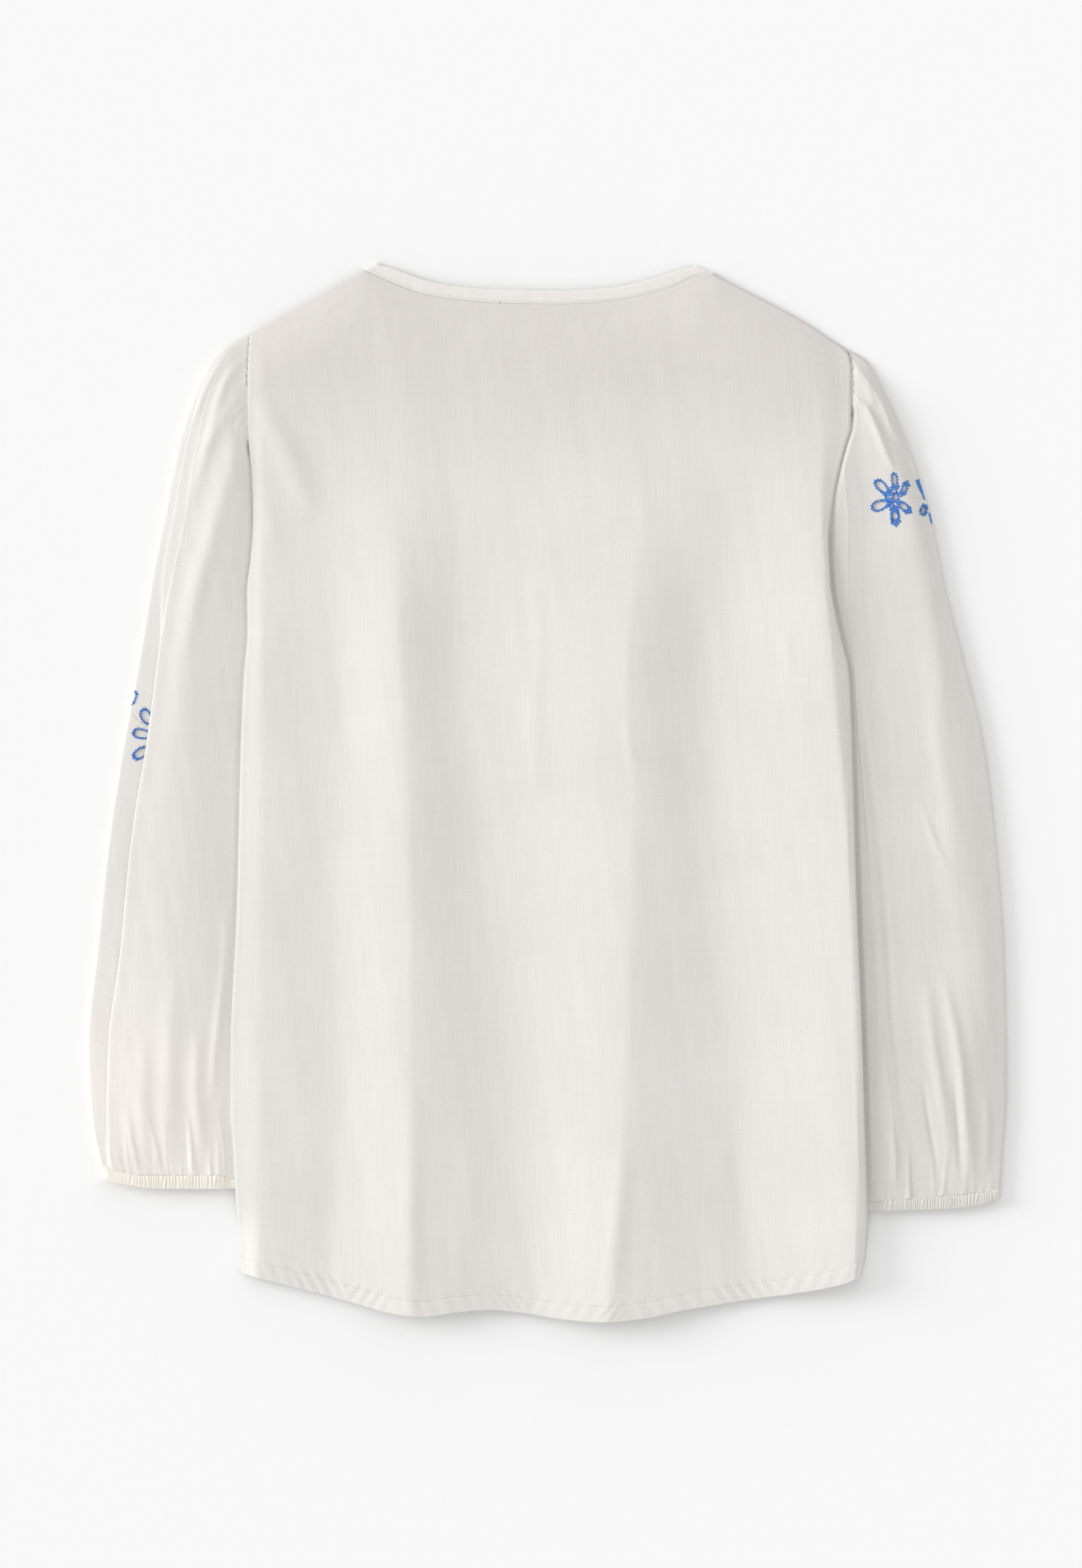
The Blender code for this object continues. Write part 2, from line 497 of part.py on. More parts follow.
def sleeve_rows(side, table, spans):
    """Rows of the sleeve from shoulder to cuff, each from the hidden edge round the outer fold."""
    named = {name: curve(list(enumerate(column)))
             for name, column in zip(SECTION_NAMES, zip(*table))}
    last = len(table) - 1
    first_start, first_outer = section_line(side, dict(zip(SECTION_NAMES, table[0])))
    edge, outward = (left_side, -1) if side == "left" else (right_side, 1)
    rows, under_rows = [], []
    for r, place in enumerate(SLEEVE_ROWS):
        s = {name: value(place) for name, value in named.items()}
        margin = max(s["margin"], 0)
        start, outer = section_line(side, s)
        along = (outer - start).normalized()
        width = margin + (outer - start).length - WALL / 2 * ease(place, 0, 1)
        fine = r >= len(SLEEVE_ROWS) - GATHER_ROWS
        points = spline(section_controls(s, margin, width), [2 * n if fine else n for n in spans])
        turned = max(range(len(points)), key=lambda k: points[k][0])
        to_seam, to_cuff = (1 - ease(place, 0, 2.2)), ease(place, last - 0.9, last)
        head = HEAD_GATHER_DEPTH * ease(place, 0.1, 0.8) * (1 - ease(place, 2, 4.6))
        foot = CUFF_GATHER_DEPTH * ease(place, last - 2.3, last - 0.6)

        def placed(distance, z, upper):
            share = min(max((distance - margin) / (width - margin), 0), 1)
            if distance < margin:
                spot = start + Vector((outward * (distance - margin), 0))
            else:
                spot = start + along * (distance - margin)
            seam = seam_point(side, share)
            spot += (Vector(seam[:2]) - first_start.lerp(first_outer, share)) * to_seam
            spot.y = mix(spot.y, cuff_seam_y(side, spot.x), to_cuff)
            if upper:
                z = mix(z, seam[2], 1 - ease(place, 0, 0.9))
                clear = ease(outward * (spot.x - edge(spot.y)), 1, 7)
                z = mix(min(z, seam_height(side, spot.y)), z, clear)
                window = clear * ease(share, 0.02, 0.10) * (1 - ease(share, 0.90, 0.97))
                z += window * (head * math.cos(math.tau * HEAD_GATHERS * share)
                               + foot * math.cos(math.tau * CUFF_GATHERS * share))
            return spot.x, spot.y, z

        rows.append([placed(d, z, k < turned) for k, (d, z) in enumerate(points)])
        inset = UNDER_TURN + LAYER_GAP
        under_rows.append([placed((width - inset) * k / UNDER_COLUMNS, FLAT, False)
                           for k in range(UNDER_COLUMNS + 1)])
    return rows, under_rows


def petal_cutter(side, sleeve_sheet):
    """Short elliptical prisms through the cloth, one for each cut-out petal."""
    points = [Vector(p) for row in sleeve_sheet for p in row]
    surface = BVHTree.FromPolygons(points, sheet_faces(sleeve_sheet))
    corners, faces = [], []
    for x, y, length, width, lean in PETALS[side]:
        spot, normal, _, _ = surface.ray_cast(Vector((x, y, 50)), Vector((0, 0, -1)))
        if normal.z < 0:
            normal = -normal
        lean = math.radians(lean)
        long_way = Vector((math.cos(lean), math.sin(lean), 0))
        long_way = (long_way - normal * long_way.dot(normal)).normalized()
        wide_way = normal.cross(long_way)
        first = len(corners)
        for reach in (-CUTTER_REACH, CUTTER_REACH):
            for k in range(PETAL_SIDES):
                angle = math.tau * k / PETAL_SIDES
                corners.append((spot + long_way * (length / 2 * math.cos(angle))
                                + wide_way * (width / 2 * math.sin(angle)) + normal * reach) * MM)
        for k in range(PETAL_SIDES):
            n = (k + 1) % PETAL_SIDES
            faces.append((first + k, first + n, first + PETAL_SIDES + n, first + PETAL_SIDES + k))
        faces.append(tuple(first + k for k in reversed(range(PETAL_SIDES))))
        faces.append(tuple(first + PETAL_SIDES + k for k in range(PETAL_SIDES)))
    mesh = bpy.data.meshes.new("petal_cutter_" + side)
    mesh.from_pydata(corners, [], faces)
    cutter = bpy.data.objects.new("petal_cutter_" + side, mesh)
    bpy.context.scene.collection.objects.link(cutter)
    cutter.hide_render = True
    cutter.display_type = "WIRE"
    return cutter


def make_sleeve(side, table, spans, finish):
    rows, under_rows = sleeve_rows(side, table, spans)
    upper = cloth("sleeve_" + side + "_upper", rows, finish)
    cut = upper.modifiers.new("cutwork", "BOOLEAN")
    cut.operation = "DIFFERENCE"
    cut.solver = "EXACT"
    cut.object = petal_cutter(side, rows)
    cloth("sleeve_" + side + "_under", under_rows, finish)


def make_cuff(side, finish):
    """A flattened ring of elastic casing. Its ripples fade out where it lies on the surface."""
    upper, lower = curve(CUFF_UPPER[side]), curve(CUFF_LOWER[side])
    low = DOUBLE_WALL / 2
    radius = (CUFF_TOP - low) / 2
    start = CUFF_UPPER[side][0][0] + DOUBLE_WALL / 2 + radius
    end = CUFF_UPPER[side][-1][0] - DOUBLE_WALL / 2 - radius
    ring = []
    across = 2 * CUFF_RIPPLES
    for k in range(across + 1):
        share = k / across
        depth = CUFF_RIPPLE_DEPTH / 2 * (1 if k % 2 else -1)
        ring.append((mix(start, end, share), CUFF_TOP + depth))
    for degrees in (60, 30, 0, -30, -60):
        angle = math.radians(degrees)
        ring.append((end + radius * math.cos(angle), low + radius + radius * math.sin(angle)))
    for k in range(5):
        ring.append((mix(end, start, k / 4), low))
    for degrees in (-120, -150, 180, 150, 120):
        angle = math.radians(degrees)
        ring.append((start + radius * math.cos(angle), low + radius + radius * math.sin(angle)))
    rows = [[(x, upper(x), z), (x, lower(x), z)] for x, z in ring]
    return cloth("cuff_" + side, rows, finish, wall=DOUBLE_WALL, closed=True)


cotton = material("white cotton", COTTON, 0.85)
bound = material("cotton binding", BINDING_COTTON, 0.85)
elastic = material("gathered casing", CUFF_COTTON, 0.85)

make_front(cotton)
make_back(cotton)
make_neck_binding(bound)
make_sleeve("left", LEFT_SLEEVE, LEFT_SPANS, cotton)
make_sleeve("right", RIGHT_SLEEVE, RIGHT_SPANS, cotton)
make_cuff("left", elastic)
make_cuff("right", elastic)
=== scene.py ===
"""A woman's white cotton blouse with cutwork flowers on its long sleeves, laid flat, back up.

Lengths are in millimetres and turned to metres when a mesh is made. X runs across the blouse,
+Y towards the neck and +Z up, with the origin under its middle, on the ground that it lies on.
"""

import math

import bpy
import numpy as np
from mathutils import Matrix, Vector
from mathutils.bvhtree import BVHTree


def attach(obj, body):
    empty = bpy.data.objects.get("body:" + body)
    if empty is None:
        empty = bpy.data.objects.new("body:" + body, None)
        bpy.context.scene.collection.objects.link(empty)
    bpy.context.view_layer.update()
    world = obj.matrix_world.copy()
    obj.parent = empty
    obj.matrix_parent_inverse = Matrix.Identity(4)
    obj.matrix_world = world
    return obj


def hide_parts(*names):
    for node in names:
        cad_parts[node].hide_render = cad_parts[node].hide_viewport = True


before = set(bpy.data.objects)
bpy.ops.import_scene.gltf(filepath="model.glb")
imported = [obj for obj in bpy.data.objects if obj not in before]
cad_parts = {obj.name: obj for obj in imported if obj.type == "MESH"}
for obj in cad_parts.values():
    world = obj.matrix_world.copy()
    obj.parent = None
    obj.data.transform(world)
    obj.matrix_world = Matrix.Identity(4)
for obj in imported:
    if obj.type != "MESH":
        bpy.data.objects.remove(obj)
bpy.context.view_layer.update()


# Front panel. It is cut from white cotton voile, a thin plain weave of slubby yarn, like every
# panel here. It lies flat on the ground under the back, and its sides ride up over the sleeves.
MM = 0.001
WALL = 0.6             # a layer of cloth, drawn about twice as thick as it is so that its edges show
LAYER = 0.75           # from one layer to the next that lies on it
FLAT = WALL / 2        # a layer that lies on the ground
STACKED = FLAT + LAYER
LIFT = 4.8             # how far the body's sides ride up over the sleeves
RAISED, LEVEL = 17.5, 32.0    # the front is raised to here from its side, and level from here
DROP = 18.0            # length of seam over which the sleeve sinks below the body's side
UNDERARM_Y = {"left": 215.0, "right": 237.0}
SIDE_COMES_DOWN = {"left": (-259.0, -288.0), "right": (-273.0, -302.0)}
SHOULDER_Y = {"left": 297.4, "right": 289.6}

# Side edges of the body, from the hem corner to the shoulder point: height up the body, x
LEFT_SIDE = (
    (-312.4, -198.9), (-276, -201.3), (-220, -204.4), (-212, -205.3), (-158, -205.3),
    (-136, -204.4), (-78, -201.3), (27, -198.7), (76, -196.5), (104, -194.3), (131, -194.7),
    (149, -192.5), (178, -190.7), (206, -191.6), (223.5, -193.4), (241, -194.3),
    (267.5, -194.3), (297.4, -193.0),
)
RIGHT_SIDE = (
    (-311.5, 204.0), (-300, 206.4), (-271.5, 207.5), (-207.7, 205.7), (-146, 203.5),
    (-80, 200.9), (30, 197.8), (76, 195.8), (99, 190.7), (115, 187.2), (134, 183.7),
    (162, 182.4), (188, 184.6), (210, 189.0), (226, 193.4), (237, 196.5), (254, 196.9),
    (274, 197.3), (283, 195.6), (289.6, 189.2),
)
HEM = (
    (-206, -310.5), (-165.3, -320.9), (-130.3, -330.1), (-98, -338.2), (-80.4, -340.0),
    (-57.5, -337.1), (-37.4, -335.9), (-17.1, -337.8), (10.7, -341.9), (35, -343.3),
    (64, -341.0), (83.7, -336.9), (123, -330.6), (172.1, -323.2), (193.1, -318.2), (208, -311.0),
)
LEFT_SHOULDER = ((-193.0, 297.4), (-160.8, 315.9), (-126.5, 334.6), (-118.2, 338.4))
NECK_LOWER = (
    (-118.2, 338.4), (-109.6, 334.6), (-99.6, 330.2), (-89.5, 326.2), (-76, 322.2),
    (-49.1, 318.5), (-22, 316.8), (8.1, 316.4), (40.7, 318.4), (67.1, 323.4), (80.6, 327.3),
    (99.4, 335.0), (108.0, 335.4),
)
RIGHT_SHOULDER = ((108.0, 335.4), (134.4, 321.8), (163.9, 306.2), (189.2, 289.6))
FRONT_NECK_DEPTH = 96.0
BINDING_WIDTH = 9.0
FRONT_HEM_SHORTER = 3.0


def curve(points):
    """A smooth curve through pairs of (place, value) that never overshoots its points."""
    knots = np.array([p[0] for p in points], float)
    values = np.array([p[1] for p in points], float)
    steps = np.diff(knots)
    rises = np.diff(values) / steps
    slopes = np.zeros(len(knots))
    slopes[0], slopes[-1] = rises[0], rises[-1]
    for i in range(1, len(knots) - 1):
        if rises[i - 1] * rises[i] > 0:
            slopes[i] = 2 / (1 / rises[i - 1] + 1 / rises[i])

    def value_at(place):
        place = np.clip(place, knots[0], knots[-1])
        i = np.minimum(np.searchsorted(knots, place, side="right") - 1, len(steps) - 1)
        t = (place - knots[i]) / steps[i]
        start = (2 * t**3 - 3 * t**2 + 1) * values[i] + (t**3 - 2 * t**2 + t) * steps[i] * slopes[i]
        end = (3 * t**2 - 2 * t**3) * values[i + 1] + (t**3 - t**2) * steps[i] * slopes[i + 1]
        return start + end

    return value_at


def ease(place, start, end):
    """From 0 at start to 1 at end, smoothly."""
    t = np.clip((place - start) / (end - start), 0.0, 1.0)
    return t * t * (3 - 2 * t)


def mix(a, b, t):
    """From a to b as t goes from 0 to 1."""
    return a + (b - a) * t


left_side, right_side = curve(LEFT_SIDE), curve(RIGHT_SIDE)
hem_y = curve(HEM)
left_shoulder, right_shoulder = curve(LEFT_SHOULDER), curve(RIGHT_SHOULDER)
neck_lower = curve(NECK_LOWER)
EDGES = {"left": (left_side, -1), "right": (right_side, 1)}    # with the way out from the body
LEFT_X, RIGHT_X = LEFT_SHOULDER[0][0], RIGHT_SHOULDER[-1][0]
NECK_LEFT_X, NECK_RIGHT_X = NECK_LOWER[0][0], NECK_LOWER[-1][0]
NECK_FROM = (NECK_LEFT_X - LEFT_X) / (RIGHT_X - LEFT_X)
NECK_TO = (NECK_RIGHT_X - LEFT_X) / (RIGHT_X - LEFT_X)


def side_lift(y, side):
    """How far the body's side rides up over the sleeve: 0 at the armhole and below the cuff."""
    under_arm, (high, low) = UNDERARM_Y[side], SIDE_COMES_DOWN[side]
    return LIFT * ease(y, under_arm + DROP, under_arm) * ease(y, low, high)


def back_top(x):
    """Upper edge of the back: two shoulders and the neckline."""
    shoulders = np.where(x < 0, left_shoulder(x), right_shoulder(x))
    return np.where((x < NECK_LEFT_X) | (x > NECK_RIGHT_X), shoulders, neck_lower(x))


def front_top(x):
    """Shoulders, and the deep round neck of the front."""
    across = 2 * (x - NECK_LEFT_X) / (NECK_RIGHT_X - NECK_LEFT_X) - 1
    tips = mix(NECK_LOWER[0][1], NECK_LOWER[-1][1], (across + 1) / 2)
    deep = tips - (FRONT_NECK_DEPTH + BINDING_WIDTH / 2) * np.sqrt(np.maximum(1 - across * across, 0))
    return np.where(np.abs(across) < 1, deep, back_top(x))


def front_height(x, y):
    """The front lies flat, with its sides raised over the sleeves."""
    left = side_lift(y, "left") * (1 - ease(x - left_side(y), RAISED, LEVEL))
    right = side_lift(y, "right") * (1 - ease(right_side(y) - x, RAISED, LEVEL))
    return FLAT + np.maximum(left, right)


def spaced(*stretches):
    """Places along a line, in stretches that each have a start, an end and a number of places."""
    runs = [np.linspace(*stretch) for stretch in stretches]
    return np.concatenate(runs[:1] + [run[1:] for run in runs[1:]])


def panel(columns, ups, top, bottom, height):
    """A grid of points for the body, from the hem up. Columns are shares of its width."""
    share, up = np.meshgrid(columns, ups)
    top_x = mix(LEFT_X, RIGHT_X, share)
    low_x = mix(left_side(HEM[0][1]), right_side(HEM[-1][1]), share)
    top_y = top(top_x)
    y = mix(bottom(low_x), top_y, up)
    drift = top_x - mix(left_side(top_y), right_side(top_y), share)
    x = mix(left_side(y), right_side(y), share) + drift * up**4
    return np.stack([x, y, height(x, y)], axis=-1)


def linear(code):
    """An sRGB hex colour as the linear red, green, blue and alpha that a shader takes."""
    parts = [int(code[i:i + 2], 16) / 255 for i in (1, 3, 5)]
    return tuple(c / 12.92 if c <= 0.04045 else ((c + 0.055) / 1.055) ** 2.4 for c in parts) + (1.0,)


def add(finish, kind, inputs=None, **settings):
    """Adds a node with its settings. An input is a value, or another node's output to link."""
    node = finish.node_tree.nodes.new(kind)
    for name, value in settings.items():
        setattr(node, name, value)
    for name, value in (inputs or {}).items():
        if isinstance(value, bpy.types.NodeSocket):
            finish.node_tree.links.new(value, node.inputs[name])
        else:
            node.inputs[name].default_value = value
    return node


def new_finish(name, roughness, sheen=0.0):
    """A new material with its shader, and the place on the object that its textures follow."""
    finish = bpy.data.materials.new(name)
    finish.use_nodes = True
    shader = finish.node_tree.nodes["Principled BSDF"]
    shader.inputs["Roughness"].default_value = roughness
    shader.inputs["Sheen Weight"].default_value = sheen
    return finish, shader, add(finish, "ShaderNodeTexCoord").outputs["Object"]


def noise(finish, places, scale, detail):
    """Noise of so many lumps to the metre: one number, or one for each axis."""
    if isinstance(scale, tuple):
        places = add(finish, "ShaderNodeMapping", {"Vector": places, "Scale": scale}).outputs[0]
        scale = 1.0
    return add(finish, "ShaderNodeTexNoise", {
        "Vector": places, "Scale": scale, "Detail": detail}).outputs["Fac"]


def total(finish, first, *others):
    """The sum of several nodes' values."""
    for other in others:
        first = add(finish, "ShaderNodeMath", {0: first, 1: other}, operation="ADD").outputs[0]
    return first


def stretch(finish, value, start, end, **settings):
    """A value turned to 0 at start and 1 at end."""
    return add(finish, "ShaderNodeMapRange", {
        "Value": value, "From Min": start, "From Max": end, "To Min": 0.0, "To Max": 1.0},
        **settings).outputs[0]


def blend(finish, share, dark, light):
    """A colour between two, each of them a hex code or another node's colour."""
    dark, light = (linear(end) if isinstance(end, str) else end for end in (dark, light))
    return add(finish, "ShaderNodeMix", {"Factor": share, 6: dark, 7: light},
               data_type="RGBA").outputs[2]


def cotton_voile(name, light, dark, turns_to=None, grain=1.0):
    """Voile: matt, with a fine crepe-like grain and faint streaks where the yarn thickens.

    It may turn to a second light and dark along Y, between two places given in millimetres.
    """
    finish, shader, places = new_finish(name, roughness=0.75, sheen=0.15)
    shader.inputs["Sheen Roughness"].default_value = 0.4
    # Yarn slubs are 0.4 mm wide and 20 mm long; they are drawn 1 mm wide so that they show
    warp = noise(finish, places, (900, 35, 900), 2.0)
    weft = noise(finish, places, (50, 800, 50), 2.0)
    # The grain of the weave, about 0.4 mm, is drawn at 0.9 mm
    crepe = noise(finish, places, 1100.0, 3.0)
    clouds = noise(finish, places, 14.0, 3.0)
    faint_weft = add(finish, "ShaderNodeMath", {0: weft, 1: 0.45}, operation="MULTIPLY").outputs[0]
    grains = total(finish, warp, faint_weft, crepe)
    tone = stretch(finish, total(finish, grains, clouds), 1.3, 2.15)
    colour = blend(finish, tone, dark, light)
    if turns_to:
        there_light, there_dark, start, end = turns_to
        along = add(finish, "ShaderNodeSeparateXYZ", {"Vector": places}).outputs["Y"]
        turned = stretch(finish, along, start * MM, end * MM, interpolation_type="SMOOTHSTEP")
        colour = blend(finish, turned, colour, blend(finish, tone, there_dark, there_light))
    bump = add(finish, "ShaderNodeBump", {
        "Strength": 0.3 * grain, "Distance": 0.0003, "Height": grains})
    finish.node_tree.links.new(colour, shader.inputs["Base Color"])
    finish.node_tree.links.new(bump.outputs[0], shader.inputs["Normal"])
    return finish


def put_in_scene(name, data):
    """A new object in the scene from its mesh, light or camera."""
    thing = bpy.data.objects.new(name, data)
    bpy.context.scene.collection.objects.link(thing)
    return thing


def smooth_object(name, points, faces, finishes):
    """A smooth object from its points and faces, with the finishes that its faces may have."""
    mesh = bpy.data.meshes.new(name)
    mesh.from_pydata((points * MM).tolist(), [], faces)
    for finish in finishes:
        mesh.materials.append(finish)
    mesh.shade_smooth()
    return put_in_scene(name, mesh)


def quads(grid, closed=False):
    """The faces between a grid's points. A closed grid's last row joins its first."""
    count, width = grid.shape[:2]
    index = np.arange(count * width).reshape(count, width)
    if closed:
        index = np.vstack([index, index[:1]])
    corners = (index[:-1, :-1], index[:-1, 1:], index[1:, 1:], index[1:, :-1])
    return np.stack(corners, axis=-1).reshape(-1, 4).tolist()


def cloth(name, grid, finish, wall=WALL, closed=False):
    """A piece of cloth of an even thickness, from a grid of points along the middle of its wall."""
    piece = smooth_object(name, grid.reshape(-1, 3), quads(grid, closed), [finish])
    solid = piece.modifiers.new("wall", "SOLIDIFY")
    solid.thickness = wall * MM
    solid.offset = 0
    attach(piece, "root")
    return piece


VOILE_COLOURS = ("#e8e5e1", "#dfdcd7")    # light and dark
white_voile = cotton_voile("white_cotton_voile", *VOILE_COLOURS)
round_neck = (1 - np.cos(np.linspace(0, math.pi, 60))) / 2
front_columns = np.concatenate([
    spaced((0, 0.12, 24), (0.12, NECK_FROM, 12)), mix(NECK_FROM, NECK_TO, round_neck)[1:],
    spaced((NECK_TO, 0.88, 12), (0.88, 1, 24))[1:]])
front = cloth("front_panel", panel(front_columns, np.linspace(0, 1, 170), front_top,
                                   lambda x: hem_y(x) + FRONT_HEM_SHORTER, front_height), white_voile)
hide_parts("front")


# Back panel. It is as wide as the front and falls over it in long soft columns, smooth across the
# yoke. Its shirt-tail hem is turned up twice and stitched, and puckers along the stitching.
PLATEAU = 7.5          # height of the smooth upper back
FOLD_HEIGHTS_Y = (-310.0, -208.0, -100.0, 0.0, 63.0, 200.0)
BACK_FOLDS = (
    # x at each of those heights, and height over the ground
    ((-186.0, -185.0, -184.5, -184.0, -184.0, -184.5), 8.5),
    ((-141.0, -140.0, -139.7, -139.7, -137.5, -150.0), 5.8),
    ((-88.7, -88.0, -88.5, -90.0, -94.0, -100.0), 15.0),
    ((-12.0, -17.0, -33.0, -44.0, -51.7, -57.0), 6.2),
    ((38.5, 49.0, 54.0, 55.6, 51.0, 62.0), 16.0),
    ((133.0, 124.0, 116.0, 111.0, 106.0, 126.0), 5.5),
    ((200.6, 202.2, 199.0, 193.0, 186.0, 177.0), 15.0),
)
SHARP_CREST = 0.22     # 0 is a round crest, and 1 is as sharp as one can be
STEEP_AT_RIGHT = (2, 4, 6, 7)          # the spans between folds that are steepest at their right end
CRESTS_START_Y, CRESTS_FULL_Y = 240.0, 120.0
FOLDS_START_Y, FOLDS_FULL_Y = 262.0, 80.0
SHOULDER_RAMP = 38.0
NECK_END, SHOULDER_POINT = 2.9, 1.9    # height of the shoulder seam at its two ends
NECK_MIDDLE = 4.4                      # and of the neck's edge
SHOULDER_LENGTH = 75.0
BACK_CREASES = (
    # points along the crease, width, height
    (((-188, 256), (-170, 222), (-150, 178)), 9.0, 2.6),
    (((-185, 186.6), (-174.9, 161)), 4.0, 0.7),
    (((-5.5, 160), (-7, 70), (-8.1, -10)), 5.0, 0.5),
    (((153.3, 103), (158.2, 78)), 2.5, 0.6),
    (((49.9, 46), (55.2, 18)), 2.2, 0.5),
    (((-33, 286), (-27, 268)), 2.2, 0.3),
    (((-88.7, -345), (-88.2, -270), (-88, -190)), 7.0, 1.4),
    (((40.0, -350), (44.5, -290), (50, -225)), 6.0, 1.6),
    (((-141, -340), (-141, -270), (-140, -200)), 10.0, -0.8),
    (((133, -340), (127, -270), (121, -190)), 9.0, -1.0),
    (((-60, -338), (-52, -280), (-50, -220)), 9.0, 0.6),
)
CALM_AT_SIDE, CALM_AT_TOP = 14.0, 16.0    # creases fade out this close to the side and the top
BACK_UNEVEN = ((0.30, 34, 210, 1.3), (0.12, 13, 60, 4.1))    # height, across, down, seed
HEM_STITCH = 10.5      # from the hem's edge up to its row of stitches
HEM_STITCHES_X = (-200.0, 201.5)
HEM_PITCH, HEM_STITCH_LENGTH = 2.3, 1.7
HEM_TURN_HEIGHT = 0.25 # the turned hem stands up by this
HEM_GROOVE, HEM_GROOVE_WIDTH = 0.22, 0.9
PUCKERS = (
    # x from, x to, wavelength, slant, depth
    (-166, -131, 8.5, 0.7, 0.5), (-128, -104, 7.0, -0.6, 0.5), (-34, -14, 6.5, 0.8, 0.45),
    (34, 47, 6.0, -0.7, 0.5), (107, 148, 8.0, 0.7, 0.55), (-100, -40, 11.0, 0.4, 0.22),
    (-14, 34, 10.0, -0.5, 0.2), (47, 107, 12.0, 0.5, 0.22), (148, 200, 11.0, -0.5, 0.2),
    (-200, -166, 10.0, 0.4, 0.25),
)
fold_paths = [curve(list(zip(FOLD_HEIGHTS_Y, path))) for path, _ in BACK_FOLDS]


def crease(x, y, line, width, height):
    """A ridge along a line of points, or a groove if its height is below 0. Its ends fade out."""
    lengths = [math.dist(a, b) for a, b in zip(line, line[1:])]
    nearest, place = np.full(np.shape(x), 1e9), np.zeros(np.shape(x))
    gone = 0.0
    for (ax, ay), (bx, by), length in zip(line, line[1:], lengths):
        t = np.clip(((x - ax) * (bx - ax) + (y - ay) * (by - ay)) / length**2, 0, 1)
        away = np.hypot(x - mix(ax, bx, t), y - mix(ay, by, t))
        place = np.where(away < nearest, (gone + t * length) / sum(lengths), place)
        nearest = np.minimum(away, nearest)
        gone += length
    return height * np.exp(-(nearest / width) ** 2) * np.sin(math.pi * np.clip(place, 0, 1)) ** 0.7


def uneven(x, y, layers):
    """Slight unevenness of the cloth. Each of its layers is a few crossing waves."""
    rise = 0.0
    for height, across, down, seed in layers:
        crossing = 0.0
        for k in range(5):
            turn = 0.5 * math.sin(seed + 2.1 * k)
            way = ((x + turn * y * across / down) / (across * (1 + 0.23 * k))
                   + y / (down * (1 + 0.31 * k)))
            crossing = crossing + np.sin(math.tau * way + seed * (k + 1))
        rise = rise + height * (crossing / 5)
    return rise


def top_edge_height(x):
    """Height of the back along the shoulders and the neck."""
    neck_middle = (NECK_LEFT_X + NECK_RIGHT_X) / 2
    across = 1 - ((x - neck_middle) / (NECK_RIGHT_X - neck_middle)) ** 2
    beyond = np.maximum(NECK_LEFT_X - x, x - NECK_RIGHT_X)
    along_shoulder = mix(NECK_END, SHOULDER_POINT, np.clip(beyond / SHOULDER_LENGTH, 0, 1))
    return np.where(across > 0, mix(NECK_END, NECK_MIDDLE, across), along_shoulder)


def back_form(x, y):
    """The back's large forms: columns of soft folds, low at the edges."""
    folded = ease(y, FOLDS_START_Y, FOLDS_FULL_Y)
    edges = []
    for side in ("left", "right"):
        low = STACKED + side_lift(y, side)
        edges.append(mix(low, STACKED + LIFT, ease(y, UNDERARM_Y[side] - DROP, UNDERARM_Y[side])))
    places = [left_side(y)] + [path(y) for path in fold_paths] + [right_side(y)]
    heights = [edges[0]] + [mix(PLATEAU, high, folded) for _, high in BACK_FOLDS] + [edges[1]]
    z = heights[0]
    for i in range(len(places) - 1):
        t = np.clip((x - places[i]) / (places[i + 1] - places[i]), 0, 1)
        sharp = t**2 if i in STEEP_AT_RIGHT else 1 - (1 - t) ** 2
        sharpness = SHARP_CREST * ease(y, CRESTS_START_Y, CRESTS_FULL_Y)
        share = mix(t * t * (3 - 2 * t), sharp, sharpness)
        z = np.where(x > places[i], mix(heights[i], heights[i + 1], share), z)
    down = np.clip((back_top(x) - y) / SHOULDER_RAMP, 0, 1)
    return mix(top_edge_height(x), z, 1 - (1 - down) ** 2)


def back_height(x, y):
    """The back with its creases, the turned hem and the puckers beside its stitching."""
    inside = np.minimum(x - left_side(y), right_side(y) - x)
    from_top = back_top(x) - y
    calm = ease(inside, 0, CALM_AT_SIDE) * ease(from_top, 0, CALM_AT_TOP)
    z = back_form(x, y)
    for line, width, height in BACK_CREASES:
        z = z + calm * crease(x, y, line, width, height)
    z = z + calm * uneven(x, y, BACK_UNEVEN)
    up = y - hem_y(x)
    for start, end, wave, slant, depth in PUCKERS:
        there = ease(x, start - 4, start + 4) * (1 - ease(x, end - 4, end + 4))
        fade = ease(up, -2, 4) * (1 - ease(up, HEM_STITCH - 2, HEM_STITCH + 7))
        z = z + depth * there * fade * np.sin(math.tau * (x + slant * up) / wave)
    z = z + HEM_TURN_HEIGHT * (1 - ease(up, HEM_STITCH - 0.6, HEM_STITCH + 0.6))
    return z - HEM_GROOVE * np.exp(-((up - HEM_STITCH) / HEM_GROOVE_WIDTH) ** 2)


THREAD_SIDES = 6
SEAM_THREAD_WIDTH, OVERLOCK_WIDTH = 0.34, 0.32
THREAD_RINGS = ((0, 0.4), (0.14, 1), (0.86, 1), (1, 0.4))    # place along a stitch, and thickness


def tube_faces(first, sides, rings):
    """Faces of a closed tube, from the number of its first point. Its rings of points follow on."""
    last = first + sides * (rings - 1)
    faces = []
    for ring in range(first, last, sides):
        for k in range(sides):
            a, b = ring + k, ring + (k + 1) % sides
            faces.append((a, b, b + sides, a + sides))
    return faces + [tuple(reversed(range(first, first + sides))), tuple(range(last, last + sides))]


